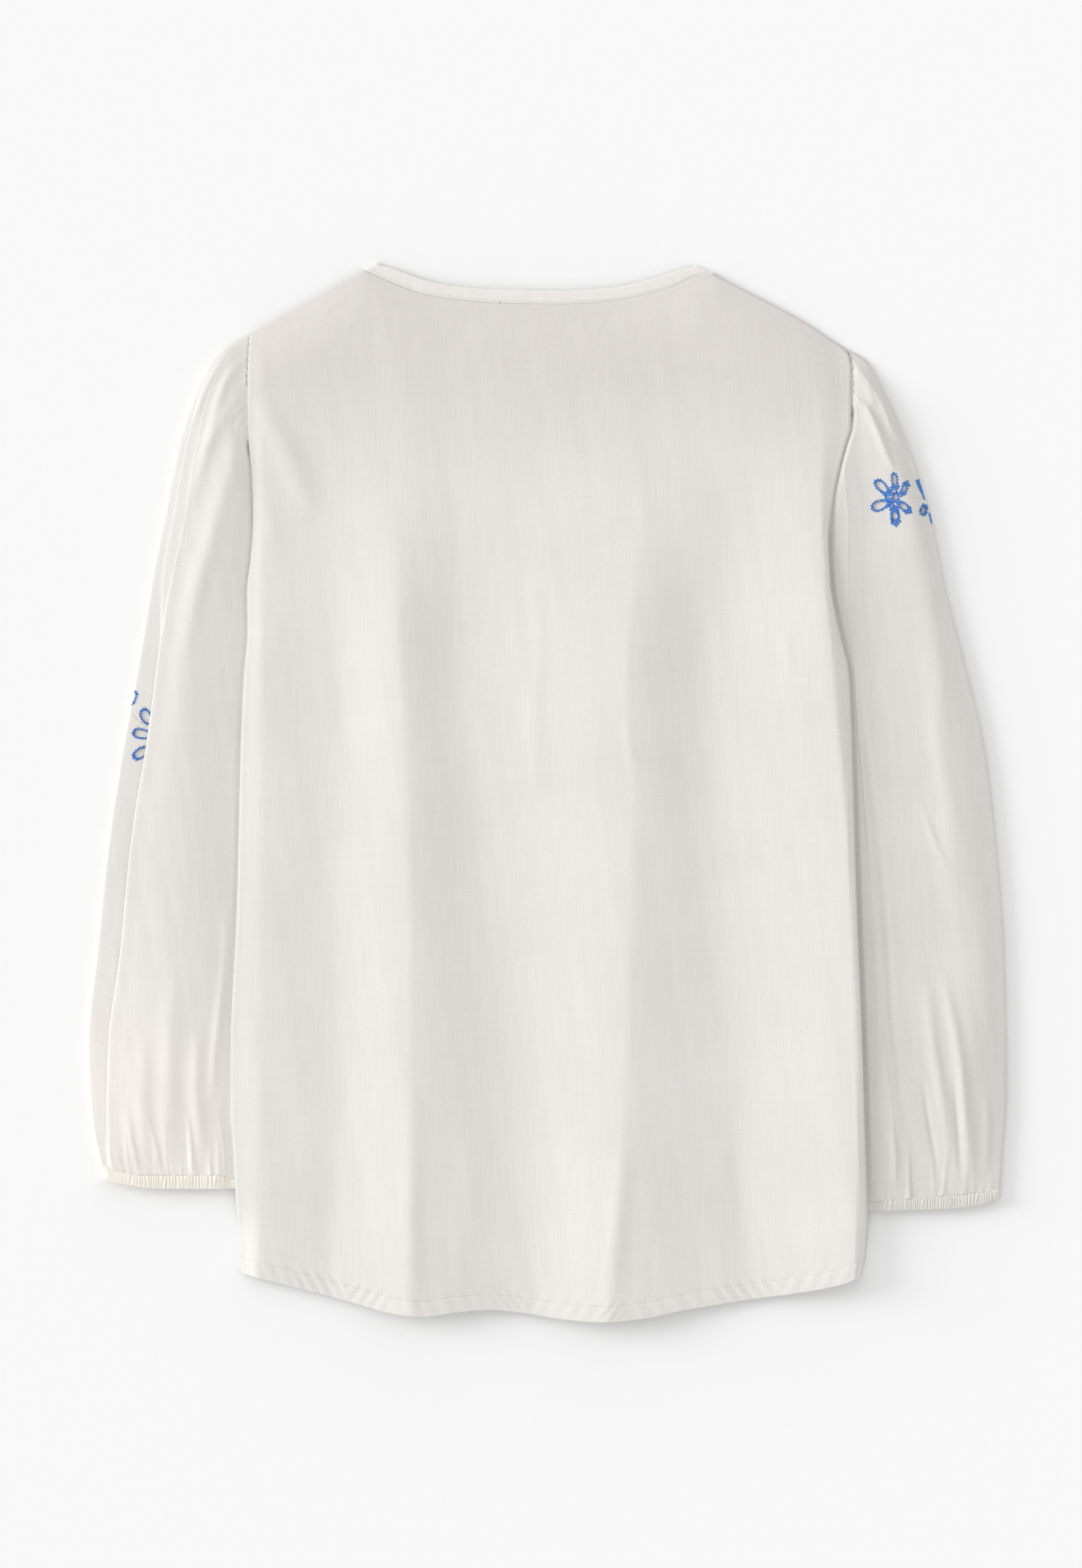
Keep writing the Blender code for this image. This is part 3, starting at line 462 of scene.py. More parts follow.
def threads(name, runs, finishes, width):
    """Stitches: short rounded lengths of thread, each from one point to another with its own finish."""
    corners, faces, kinds = [], [], []
    for start, end, kind in runs:
        start, end = np.array(start), np.array(end)
        way = (end - start) / np.linalg.norm(end - start)
        aside = np.cross(way, (0, 0, 1))
        aside = aside / np.linalg.norm(aside)
        above = np.cross(aside, way)
        faces += tube_faces(len(corners), THREAD_SIDES, len(THREAD_RINGS))
        kinds += [kind] * (len(faces) - len(kinds))
        for share, thick in THREAD_RINGS:
            for angle in np.linspace(0, math.tau, THREAD_SIDES, endpoint=False):
                out = aside * math.cos(angle) + above * math.sin(angle)
                corners.append(mix(start, end, share) + out * thick * width / 2)
    piece = smooth_object(name, np.array(corners), faces, finishes)
    piece.data.polygons.foreach_set("material_index", kinds)
    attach(piece, "root")
    return piece


def sewing_thread(name, light, dark, roughness=0.6):
    """Spun thread: its plies show as a change of tone every half millimetre or so."""
    finish, shader, places = new_finish(name, roughness, sheen=0.2)
    plies = stretch(finish, noise(finish, places, 1500.0, 1.0), 0.36, 0.64)
    finish.node_tree.links.new(blend(finish, plies, dark, light), shader.inputs["Base Color"])
    return finish


def hem_stitches():
    """A row of small stitches along the top of the turned hem."""
    runs = []
    for x in np.arange(*HEM_STITCHES_X, HEM_PITCH):
        ends = [(at, float(hem_y(at)) + HEM_STITCH) for at in (x, x + HEM_STITCH_LENGTH)]
        runs.append([(*end, float(back_height(*end)) + WALL / 2 + 0.02) for end in ends] + [0])
    return runs


back_columns = spaced((0, NECK_FROM, 38), (NECK_FROM, NECK_TO, 112), (NECK_TO, 1, 40))
back_rows = spaced((0, 0.06, 42), (0.06, 0.9, 150), (0.9, 1, 34))
# Across the yoke the voile is painted greyer: painted shade, for the shade of the open neck that shows
# through one layer of voile
back_voile = cotton_voile("white_cotton_voile_of_the_back_with_painted_shade", *VOILE_COLOURS,
                          turns_to=("#e0dbd7", "#d7d2ce", 180, 285))
back = cloth("back_panel", panel(back_columns, back_rows, back_top, hem_y, back_height), back_voile)
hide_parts("back")
white_thread = sewing_thread("white_cotton_sewing_thread", "#dedbd5", "#c8c4bd")
hem_row = threads("hem_stitches", hem_stitches(), [white_thread], SEAM_THREAD_WIDTH)


# Sleeves. Each is a long bishop sleeve, gathered a little at its head and tightly into the cuff.
# It lies with its outer fold away from the body, and a long pleat runs down its back.
SEAM_TUCK = 1.4        # the sleeve's edge goes in under the edge of the body
SEAM_DROP = 0.7        # and lies this much lower there
CUFF_TUCK = 1.2        # its end goes in under the edge of the cuff
CUFF_DROP = 1.1
ABOVE_CUFF = 0.8       # next to the cuff it stands up no more than this over it
SECTION_NAMES = (
    "out_x", "out_y", "side_y", "margin", "low", "z_step", "ridge", "z_ridge",
    "z_dip", "z_pleat", "pleat", "lap", "z_foot", "z_mid", "crest", "z_crest", "z_fold",
)
LEFT_SLEEVE = (
    (-193.4, 297.4, 215, 0, 0, 5.2, .5, 6.0, 5.6, 4.5, 4, -2, 3.4, 3, .85, 2.6, 2.1),
    (-213.0, 286.0, 206, 4, 0, 6.0, .5, 7.8, 7.2, 6.4, 8, -4, 5.2, 4.8, .85, 4.2, 3.4),
    (-224.0, 268.0, 196, 8, 0, 6.5, .4, 10.0, 8.8, 7.7, 10, -5, 6.2, 5.8, .85, 5.2, 4.6),
    (-236.5, 233.0, 180, 12, 0, 7.5, .35, 11.6, 9.6, 8.5, 12, -5, 6.8, 6.2, .80, 5.8, 5.2),
    (-246.4, 185.0, 152, 15, 0, 7.5, .45, 12.2, 9.8, 8.7, 12, -5, 6.8, 6.2, .80, 5.8, 5.4),
    (-255.0, 141.7, 123, 15, 0, 7.0, .60, 12.6, 10.0, 9.0, 11, -4, 6.6, 6.0, .80, 5.7, 5.4),
    (-263.3, 91.5, 84, 15, 0, 6.0, .66, 12, 10.3, 9.2, 12.5, -1, 6.2, 5.8, .85, 5.6, 5.4),
    (-276.5, 21.0, 20, 15, 0, 6.5, .60, 11.5, 10.6, 9.4, 16, 5, 5.9, 5.7, .85, 5.6, 5.4),
    (-284.3, -30.8, -31, 15, 0, 6.5, .50, 11.5, 10.7, 9.4, 15.6, 6, 5.9, 5.7, .85, 5.6, 5.4),
    (-292.0, -102.0, -102, 15, 1, 6.8, .45, 11.5, 10.7, 9.4, 16.3, 6, 5.9, 5.7, .85, 5.6, 5.4),
    (-297.9, -160.0, -160, 15, 2, 6.8, .45, 11.5, 10.7, 9.4, 14.5, 5, 5.9, 5.7, .85, 5.6, 5.4),
    (-296.5, -196.7, -195, 12, 3, 6.8, .45, 10.5, 10.3, 9.3, 12, 2, 5.9, 5.7, .85, 5.6, 5.4),
    (-291.9, -229.0, -226, 4, 2, 6.6, .45, 9, 9.2, 9, 8, -2, 6, 6, .85, 6, 6),
    (-286.8, -241.4, -248.8, 2, 0, 7.0, .45, 6.8, 6.8, 6.8, 5, -3, 6.6, 6.6, .85, 6.6, 6.6),
)
RIGHT_SLEEVE = (
    (189.6, 289.6, 237, 0, 0, 5.2, .5, 5.4, 5.4, 5.2, 40, -4, 5.0, 5.6, .8, 4.0, 2.1),
    (207.0, 279.0, 228, 4, 0, 6.2, .5, 6.6, 6.6, 6.6, 44, -5, 6.2, 7.6, .7, 7.5, 3.4),
    (221.0, 255.0, 216, 8, 0, 6.5, .5, 7.0, 7.0, 7.0, 42, -5, 6.4, 8.4, .7, 9.5, 4.8),
    (235.8, 220.4, 198, 12, 0, 6.5, .5, 7.0, 7.2, 7.4, 45, -6, 6.6, 8.8, .7, 11.0, 5.8),
    (248.4, 181.3, 170, 14, 0, 6.4, .5, 7.0, 7.2, 7.4, 52, -7, 6.6, 9.2, .74, 12.0, 6.0),
    (258.9, 129.4, 126, 14, 0, 6.2, .5, 6.6, 6.9, 7.2, 62, -7, 6.5, 8.4, .78, 10.4, 6.2),
    (269.5, 88.4, 86, 14, 0, 6.1, .5, 6.4, 6.8, 7.2, 69, -7, 6.4, 8.2, .76, 10.4, 6.2),
    (283.6, 28.2, 28, 14, 0, 6.1, .5, 6.4, 6.8, 7.2, 79, -7, 6.4, 8.4, .74, 11.0, 6.2),
    (290.3, -25.0, -25, 14, 0, 6.1, .5, 6.4, 6.8, 7.2, 81, -7, 6.4, 8.4, .74, 11.0, 6.2),
    (296.3, -102.0, -102, 14, 0, 6.1, .5, 6.4, 6.8, 7.2, 80, -7, 6.4, 8.4, .78, 10.8, 6.2),
    (297.7, -158.6, -158.6, 14, 0, 6.1, .5, 6.5, 6.9, 7.4, 78.5, -6, 6.4, 8.6, .70, 10.6, 6.2),
    (297.9, -196.5, -197, 13, 0, 6.2, .5, 6.6, 7.0, 7.4, 73.5, -6, 6.4, 8.6, .62, 10.4, 6.2),
    (296.0, -226.0, -230, 7, 0, 6.3, .5, 6.7, 7.0, 7.4, 68.5, -5, 6.4, 8.4, .62, 9.6, 6.2),
    (293.0, -256.6, -263.6, 2, 0, 6.5, .5, 6.6, 6.6, 6.6, 64, -4, 6.6, 6.8, .62, 6.8, 6.6),
)
LAST_STATION = len(LEFT_SLEEVE) - 1
SLEEVE_ROWS = 220
ROWS_CLOSE_AT_ENDS = 0.62
ROWS_CLOSE_AT_HEAD = 14.0    # counts as so much more way in each of the first two sections
SEAM_REACHES, CUFF_REACHES = 2.2, 0.9    # sections that follow the seam at the head, and the cuff
SECTION_STEPS = {       # points across a section, from each of its controls to the next
    "left": (2, 2, 3, 4, 12, 44, 38, 18, 5, 5, 4, 4, 5, 6, 6, 6, 5, 6, 4, 4, 5, 4, 3),
    "right": (2, 2, 3, 3, 5, 5, 5, 5, 5, 6, 5, 5, 8, 38, 36, 24, 12, 6, 4, 4, 5, 4, 3),
}
UNDER_TURN = 7.0       # how far the seen side goes on under the outer fold
UNDER_LAP = 1.4        # and how far the hidden side lies over it there
SLEEVE_UNEVEN = ((0.22, 22, 150, 2.2), (0.1, 9, 40, 5.3))    # height, across, down, seed
GATHERS = {
    # how many, the tallest, the longest
    "head": ((9, 0.55, 60.0), (24, 0.5, 12.0)),
    "cuff": ((13, 1.1, 48.0), (23, 1.0, 15.0)),
}
SLEEVE_COMES_UP = {"left": (0, 3), "right": (0, 4)}    # distance from the body's edge
HEAD_COMES_UP = {"left": (0, 0.9), "right": (0.04, 0.3)}    # share of the first section's way
CUFF_TOP, CUFF_INNER_TOP = 7.0, 3.8    # height of the cuff, and of its end at the body
CUFF_COMES_UP = 12.0   # from one to the other
CUFF_UNDER = 3.5       # how far the cuff's end goes in under the side of the body
CUFF_UPPER = {
    "left": ((-288.5, -242.2), (-275, -245.0), (-264.7, -247.2), (-212.7, -247.4), (-203.8, -249.4)),
    "right": ((208.0, -264.6), (228.8, -262.9), (256.7, -260.5), (276.5, -258.7), (294.4, -257.0)),
}
SLEEVE_CREASES = {
    "left": (
        (((-196.8, 241), (-204, 214), (-212.7, 185), (-222, 150), (-229.5, 122), (-235, 85)), 6.0, 1.6),
        (((-197, 283), (-206, 272), (-214, 250), (-222, 215)), 3.4, 1.2),
        (((-197, 262), (-210, 243), (-221, 222), (-233, 180)), 4.5, 1.3),
        (((-201, 292), (-211, 283), (-222, 262), (-230, 238)), 3.0, 1.0),
        (((-205.7, -75), (-208.5, -117), (-212.7, -150), (-215.6, -171), (-217.6, -200)), 3.2, 1.5),
        (((-243, -120), (-245, -175), (-246, -222), (-241, -246)), 6.5, 1.6),
        (((-226, -150), (-228, -190), (-225, -225), (-228, -246)), 4.5, 1.4),
        (((-262, -160), (-262, -200), (-259, -244)), 5.0, 1.2),
        (((-272, -205), (-270, -225), (-268, -244)), 2.6, 0.9),
    ),
    "right": (
        (((203, 120), (198, 74), (206, 30), (212, -14), (217, -58), (221, -102), (223, -146),
          (228, -190), (233, -225)), 2.6, -1.1),
        (((197.8, 275), (207.9, 266), (216.7, 253), (224, 233.6), (237.4, 219)), 3.0, 3.0),
        (((197.8, 256), (206.6, 248.6), (212.3, 236.7), (219.8, 217.8), (223.4, 209)), 2.4, 2.9),
        (((221.0, 214), (224.5, 208.5), (229.0, 206.5), (234, 203)), 2.0, 1.1),
        (((228, 244), (236, 226), (243, 206), (246, 190)), 4.0, 1.3),
        (((234, 217), (238, 208), (241, 197)), 2.6, -1.0),
        (((198, 273), (206, 263), (212, 250)), 1.8, 0.8),
        (((244, 148), (248, 118), (253, 74), (254, 30), (261, -14), (263, -58), (270, -110)), 7.0, 1.0),
        (((242.7, -11), (251, -33), (261.1, -53)), 2.0, 0.9),
        (((245.7, -128), (250, -165), (256, -200), (260.5, -240)), 4.2, 1.7),
        (((256.7, -118), (263, -150), (268, -180), (271, -215), (275.0, -252)), 3.6, 2.2),
        (((242.7, -185), (246.8, -210), (253.8, -252)), 2.2, -1.1),
        (((263.8, -185), (266, -215), (268.2, -254)), 2.4, -1.2),
        (((284, -190), (285, -220), (284, -250)), 2.6, 0.8),
        (((222, -215), (225, -235), (224, -258)), 2.6, 1.0),
    ),
}


def spline_weights(steps):
    """Weights of the controls of a cubic B-spline that starts and ends at its end controls."""
    count = len(steps) - 1
    rows = []
    for k, n in enumerate(steps):
        for t in np.arange(n) / n:
            row = np.zeros(count + 4)
            row[k:k + 4] = ((1 - t)**3 / 6, (3 * t**3 - 6 * t**2 + 4) / 6,
                            (1 + 3 * t + 3 * t**2 - 3 * t**3) / 6, t**3 / 6)
            rows.append(row)
    rows.append(np.eye(count + 4)[-1])
    weights = np.array(rows)
    weights[:, 2] += weights[:, 0] + weights[:, 1]
    weights[:, -3] += weights[:, -2] + weights[:, -1]
    return weights[:, 2:-2]


def section_controls(s, margin, width, tucked):
    """Control points of one sleeve section: distance from the hidden edge, height."""
    start = margin + 0.4
    beside = start + s["low"]
    edge = width - s["pleat"]
    foot = edge - s["lap"]
    past = width - foot
    # The pleat is a slope where its lap is well below 0, and its edge hangs over its foot above 0
    lapped = ease(s["lap"], -5, -1)
    upper = mix(s["z_pleat"], s["z_foot"], mix(0.2, 0.5, lapped))
    lower = mix(s["z_pleat"], s["z_foot"], mix(0.85, 0.5, lapped))
    half = (upper + lower) / 2
    reach = mix(-1.5, 1.2, lapped)
    return np.array([
        (0, tucked), (0.5 * start, tucked), (start, tucked),
        (beside, mix(tucked, s["z_step"], 0.3)),
        (mix(mix(beside, edge, 0.12), beside + 2.5, min(s["low"] / 4, 1)), s["z_step"]),
        (mix(beside, edge, s["ridge"]), s["z_ridge"]), (mix(beside, edge, 0.8), s["z_dip"]),
        (edge - 0.05 * (edge - beside) - 2, s["z_pleat"]), (edge + reach, s["z_pleat"]),
        (edge + reach, upper), ((edge + foot) / 2, half), (foot - reach, lower),
        (foot - reach, s["z_foot"]), (foot + 0.2 * past, s["z_foot"]),
        (foot + 0.5 * past, s["z_mid"]), (foot + s["crest"] * past, s["z_crest"]),
        (width - min(3, 0.1 * past), s["z_fold"]), (width + 0.4, s["z_fold"]),
        (width + 0.4, FLAT), (width - 1, FLAT), (width - 3, FLAT), (width - UNDER_TURN, FLAT),
    ])


def gathers(share, place, kind):
    """Small uneven gathers that start at a seam and die away along the sleeve, at different lengths."""
    rise = 0.0
    for count, tallest, longest in GATHERS[kind]:
        for k in range(count):
            lean = 0.0013 * math.sin(2.9 * k + count)
            middle = (k + 0.5 + 0.34 * math.sin(2.4 * k + 1)) / count + lean * place
            broad = (0.22 + 0.08 * math.sin(3.1 * k)) / count
            height = tallest * (0.7 + 0.3 * math.sin(1.7 * k + 0.6))
            length = longest * (0.55 + 0.45 * math.sin(4.3 * k + 2))
            rise = rise + height * np.exp(-((share - middle) / broad) ** 2) * (1 - ease(place, 0, length))
    return rise


def tucked_height(side, y):
    """Height of the strip of sleeve that is hidden under the body's side."""
    return np.maximum(STACKED, FLAT + side_lift(y, side) - LAYER)


def seam_height(side, y):
    """Height of the sleeve beside the body: under the body's side, then up to the armhole's edge."""
    edge, _ = EDGES[side]
    return mix(tucked_height(side, y), back_form(edge(y), y),
               ease(y, UNDERARM_Y[side], UNDERARM_Y[side] + DROP))


def cuff_height(side, x):
    """Height of the top of the cuff, which is lower where it goes in under the body."""
    end = CUFF_UPPER[side][-1 if side == "left" else 0][0]
    return mix(CUFF_INNER_TOP, CUFF_TOP, ease(np.abs(x - end), 0, CUFF_COMES_UP))


def section_line(side, s):
    """Where a sleeve section leaves the body's side, and its outer fold."""
    edge, outward = EDGES[side]
    gap = 0.4 - min(s["margin"], 0)
    return np.array([edge(s["side_y"]) + outward * gap, s["side_y"]]), np.array([s["out_x"], s["out_y"]])


def sleeve_grids(side, table):
    """Points of the upper piece, from its hidden edge round the outer fold, and of the under piece."""
    named = {name: curve(list(enumerate(column))) for name, column in zip(SECTION_NAMES, zip(*table))}
    edge, outward = EDGES[side]
    stations = np.linspace(0, LAST_STATION, 400)
    paths = np.stack([named["out_x"](stations), named["out_y"](stations)], axis=-1)
    gone = np.concatenate([[0], np.cumsum(np.hypot(*np.diff(paths, axis=0).T))])
    gone = gone + ROWS_CLOSE_AT_HEAD * np.minimum(stations, 2)
    down = np.linspace(0, 1, SLEEVE_ROWS)
    down = down - ROWS_CLOSE_AT_ENDS * np.sin(math.tau * down) / math.tau
    places = np.interp(down * gone[-1], gone, stations)
    weights = spline_weights(SECTION_STEPS[side])
    first_start, first_outer = section_line(side, dict(zip(SECTION_NAMES, table[0])))
    last_outer = section_line(side, dict(zip(SECTION_NAMES, table[-1])))[1]
    cuff_edge = curve(CUFF_UPPER[side])
    upper_rows, under_rows = [], []
    for place in places:
        s = {name: float(value(place)) for name, value in named.items()}
        margin = max(s["margin"], 0)
        start, outer = section_line(side, s)
        along = (outer - start) / math.dist(outer, start)
        width = margin + math.dist(outer, start) - WALL / 2
        hidden = float(tucked_height(side, s["side_y"]))
        distance, z = (weights @ section_controls(s, margin, width, hidden)).T
        to_seam = 1 - ease(place, 0, SEAM_REACHES)
        to_cuff = ease(place, LAST_STATION - CUFF_REACHES, LAST_STATION)
        shown = np.arange(len(distance)) < np.argmax(distance)

        def spots(distance, shown):
            share = np.clip((distance - margin) / (width - margin), 0, 1)
            past = distance - margin
            x = start[0] + np.where(past < 0, outward * past, along[0] * past)
            y = start[1] + np.where(past < 0, 0, along[1] * past)
            seam_y = mix(UNDERARM_Y[side], SHOULDER_Y[side], share)
            slope = edge(seam_y - 0.5) - edge(seam_y + 0.5)
            away = np.where(shown, -SEAM_TUCK, 0.5) * outward / np.hypot(1, slope)
            x = x + (edge(seam_y) + away - mix(first_start[0], first_outer[0], share)) * to_seam
            y = y + (seam_y + away * slope - mix(first_start[1], first_outer[1], share)) * to_seam
            y = mix(y, cuff_edge(x) + np.where(shown, -CUFF_TUCK, 0.5), to_cuff)
            return share, seam_y, x, y

        share, seam_y, x, y = spots(distance, shown)
        head = gathers(share, math.dist(outer, first_outer), "head") * ease(place, 0.1, 0.7)
        foot = gathers(share, math.dist(outer, last_outer), "cuff")
        tucked = seam_height(side, seam_y) - SEAM_DROP
        upper = mix(z, tucked, 1 - ease(place, *HEAD_COMES_UP[side]))
        clear = ease(outward * (x - edge(y)), *SLEEVE_COMES_UP[side])
        upper = mix(np.minimum(upper, seam_height(side, y)), upper, clear)
        window = clear * ease(share, 0.02, 0.10) * (1 - ease(share, 0.90, 0.97))
        upper = upper + window * (head + foot)
        upper = upper + window * uneven(x, y, SLEEVE_UNEVEN)
        for line, broad, height in SLEEVE_CREASES[side]:
            upper = upper + window * crease(x, y, line, broad, height)
        above_cuff = np.minimum(upper, cuff_height(side, x) + ABOVE_CUFF)
        upper = mix(upper, above_cuff, ease(place, LAST_STATION - 0.7, LAST_STATION - 0.1))
        upper = upper - CUFF_DROP * ease(place, LAST_STATION - 0.12, LAST_STATION)
        upper_rows.append(np.stack([x, y, np.where(shown, upper, z)], axis=-1))
        flat = np.linspace(0, width - UNDER_TURN + UNDER_LAP, 80)
        _, _, x, y = spots(flat, False)
        lapped = 1 - ease(flat[-1] - flat, UNDER_LAP + 0.6, UNDER_LAP + 3.6)
        under_rows.append(np.stack([x, y, FLAT + LAYER * lapped], axis=-1))
    return np.array(upper_rows), np.array(under_rows)


def surface_of(grid):
    """The surface through a grid of points, to find its height anywhere."""
    return BVHTree.FromPolygons(grid.reshape(-1, 3).tolist(), quads(grid))


BILLOWS = {
    # middle x, y, and how far the cloth billows round it
    "left": ((-264.0, 45.0, 58.0), (-262.0, 28.0, 50.0)),
    "right": ((226.0, 190.0, 52.0), (243.0, 184.0, 42.0)),
}
BILLOW_GAP = 0.85      # between the middles of the two layers where they are closest
TURNED_POINTS = 12     # of each section of the seen side, those under the outer fold


def billow(side, upper_grid, under_grid):
    """Under the flowers the hidden side of the sleeve billows up, close below the side that is seen."""
    surface = surface_of(upper_grid)
    turned_under = [point for row in upper_grid for point in row[-TURNED_POINTS:]
                    if point[2] < FLAT + 0.01]
    for points, gap in ((turned_under, BILLOW_GAP + LAYER), (under_grid.reshape(-1, 3), BILLOW_GAP)):
        for point in points:
            near = max(1 - math.dist(point[:2], spot) / reach for *spot, reach in BILLOWS[side])
            above = near > 0 and surface.ray_cast(Vector((*point[:2], 1.4)), Vector((0, 0, 1)))[0]
            if above:
                point[2] = mix(point[2], max(point[2], above.z - gap), float(ease(near, 0, 0.45)))


THREAD_SHOWS_Y = {"left": (263.0, 294.5), "right": (243.0, 286.0)}
OVERLOCK_PITCH, OVERLOCK_LENGTH = 0.8, 0.7


def armhole_thread(side, grid):
    """Below each shoulder the overlocking on the seam shows, as a thin line of brownish thread."""
    edge, outward = EDGES[side]
    surface = surface_of(grid)
    runs = []
    for y in np.arange(*THREAD_SHOWS_Y[side], OVERLOCK_PITCH):
        x = float(edge(y)) + outward * (0.8 + 0.2 * math.sin(1.1 * y) + 0.2 * math.sin(2.7 * y))
        hit = surface.ray_cast(Vector((x, y, 60.0)), Vector((0, 0, -1)))[0]
        if hit and math.sin(3.3 * y) < 0.8:
            z = max(hit.z, float(seam_height(side, y)) - 0.5) + WALL / 2 + 0.1
            next_x = x + float(edge(y + OVERLOCK_LENGTH) - edge(y))
            runs.append(((x, y, z), (next_x, y + OVERLOCK_LENGTH, z), 0))
    return runs


sleeve_voiles = {
    # Towards its cuff the left sleeve is painted whiter, as painted light
    "left": cotton_voile("white_cotton_voile_of_the_left_sleeve_with_painted_light", *VOILE_COLOURS,
                         turns_to=("#f1ece5", "#e8e3dc", -40, -200)),
    # The right sleeve is painted a shade greyer, and a little greyer still towards its cuff: painted
    # shade
    "right": cotton_voile("white_cotton_voile_of_the_right_sleeve_in_painted_shade", "#dfdcd7", "#d6d3cd",
                          turns_to=("#dddad5", "#d4d1cb", -40, -200)),
}
sleeves = {}
for side, table in (("left", LEFT_SLEEVE), ("right", RIGHT_SLEEVE)):
    upper_grid, under_grid = sleeve_grids(side, table)
    billow(side, upper_grid, under_grid)
    upper = cloth("sleeve_" + side + "_seen", upper_grid, sleeve_voiles[side])
    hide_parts("sleeve_" + side + "_upper")
    under = cloth("sleeve_" + side + "_hidden", under_grid, sleeve_voiles[side])
    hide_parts("sleeve_" + side + "_under")
    sleeves[side] = (upper, upper_grid)
brown_thread = sewing_thread("brownish_overlocking_thread", "#a8968b", "#7f6e64")
for side in ("left", "right"):
    threads("armhole_thread_" + side, armhole_thread(side, sleeves[side][1]), [brown_thread],
            OVERLOCK_WIDTH)


# Cutwork flowers. Each petal is cut out of the sleeve, and its raw edge is overcast by machine with
# close satin stitches of glossy blue thread. Cream backing thread runs on from flower to flower.
SATIN_WIDTH, SATIN_PITCH = 0.46, 0.36
STITCH_LENGTH = 1.3
RING_STEP = 0.72 * STITCH_LENGTH       # rings of stitches overlap, the next one starts this far out
TOOTH_PITCH, TOOTH_REACH = 1.6, 0.75   # longer stitches stand out all round the edge, like teeth
MAIN_BLUE, DARK_BLUE, LIGHT_BLUE, CREAM = range(4)
PETALS = {
    "right": (
        # middle x, y of the hole, its length and width, degrees from +X to its tip, and the width
        # of the stitching along its sides, and more at its tip and at its root
        (216.4, 197.6, 8.9, 4.4, 134, 0.85, 0.5, 3.0), (215.4, 185.6, 9.1, 5.1, 200, 0.85, 0.4, 2.7),
        (225.0, 178.9, 4.9, 3.3, 275, 1.2, 3.1, 3.2), (230.5, 184.7, 5.7, 3.1, 319, 0.8, 2.5, 1.2),
        (231.1, 196.2, 4.9, 2.1, 66, 0.9, 2.1, 1.6), (224.6, 201.8, 7.6, 2.5, 95, 0.7, 0.2, 2.4),
        (225.3, 190.6, 4.3, 2.5, 80, 1.15, 0.3, 0.3), (243.8, 182.6, 4.8, 2.8, 255, 1.0, 0.4, 0.6),
    ),
    "left": (
        (-268.1, 60.8, 6.2, 1.4, 72, 0.9, 0.5, 0.4), (-260.2, 48.6, 8.4, 5.4, 112, 0.8, 0.5, 0.3),
        (-262.6, 37.5, 10.6, 5.0, 172, 0.8, 0.2, 0.4), (-263.2, 25.4, 9.2, 4.9, 213, 0.85, 1.0, 0.6),
    ),
}
BARS = {
    # solid bars of satin stitches: from x, y, to x, y, and the width at each end
    "right": ((239.7, 202.2, 242.2, 194.9, 2.6, 1.7), (242.4, 194.9, 244.4, 189.2, 1.4, 0.9),
              (247.4, 180.6, 249.3, 173.4, 1.2, 1.0)),
    "left": (),
}
JUMP_THREADS = {
    "right": ((232.8, 190.6), (236.2, 190.9), (239.5, 190.6), (242.6, 190.2), (244.6, 189.2)),
    "left": ((-270.2, 51.4), (-268.0, 48.8), (-265.4, 46.2), (-262.4, 43.4), (-260.6, 42.0)),
}
EYELET_SIDES = 40
CUTTER_REACH = 0.75    # how far the cutter reaches above and below the cloth
SAME_LAYER = 2.2       # cloth further up or down than this is another fold, and isn't stitched
SHUT_BELOW = 2.0       # a hole as narrow as this lies on the sleeve's fold and is drawn shut


def eyelet(petal, turns):
    """Points of a petal's hole, broad at its tip and narrow at its root, and the way out from each."""
    x, y, length, width, lean = petal[:5]
    lean = math.radians(lean)
    long_way = np.array([math.cos(lean), math.sin(lean)])
    wide_way = np.array([-math.sin(lean), math.cos(lean)])

    def spot(turn):
        aside = width / 2 * np.sin(turn) * (0.92 + 0.2 * np.cos(turn))
        return (np.array([x, y]) + (length / 2 * np.cos(turn))[:, None] * long_way
                + aside[:, None] * wide_way)

    along = spot(turns + 0.01) - spot(turns - 0.01)
    out = np.stack([along[:, 1], -along[:, 0]], axis=-1)
    return spot(turns), out / np.linalg.norm(out, axis=1)[:, None]


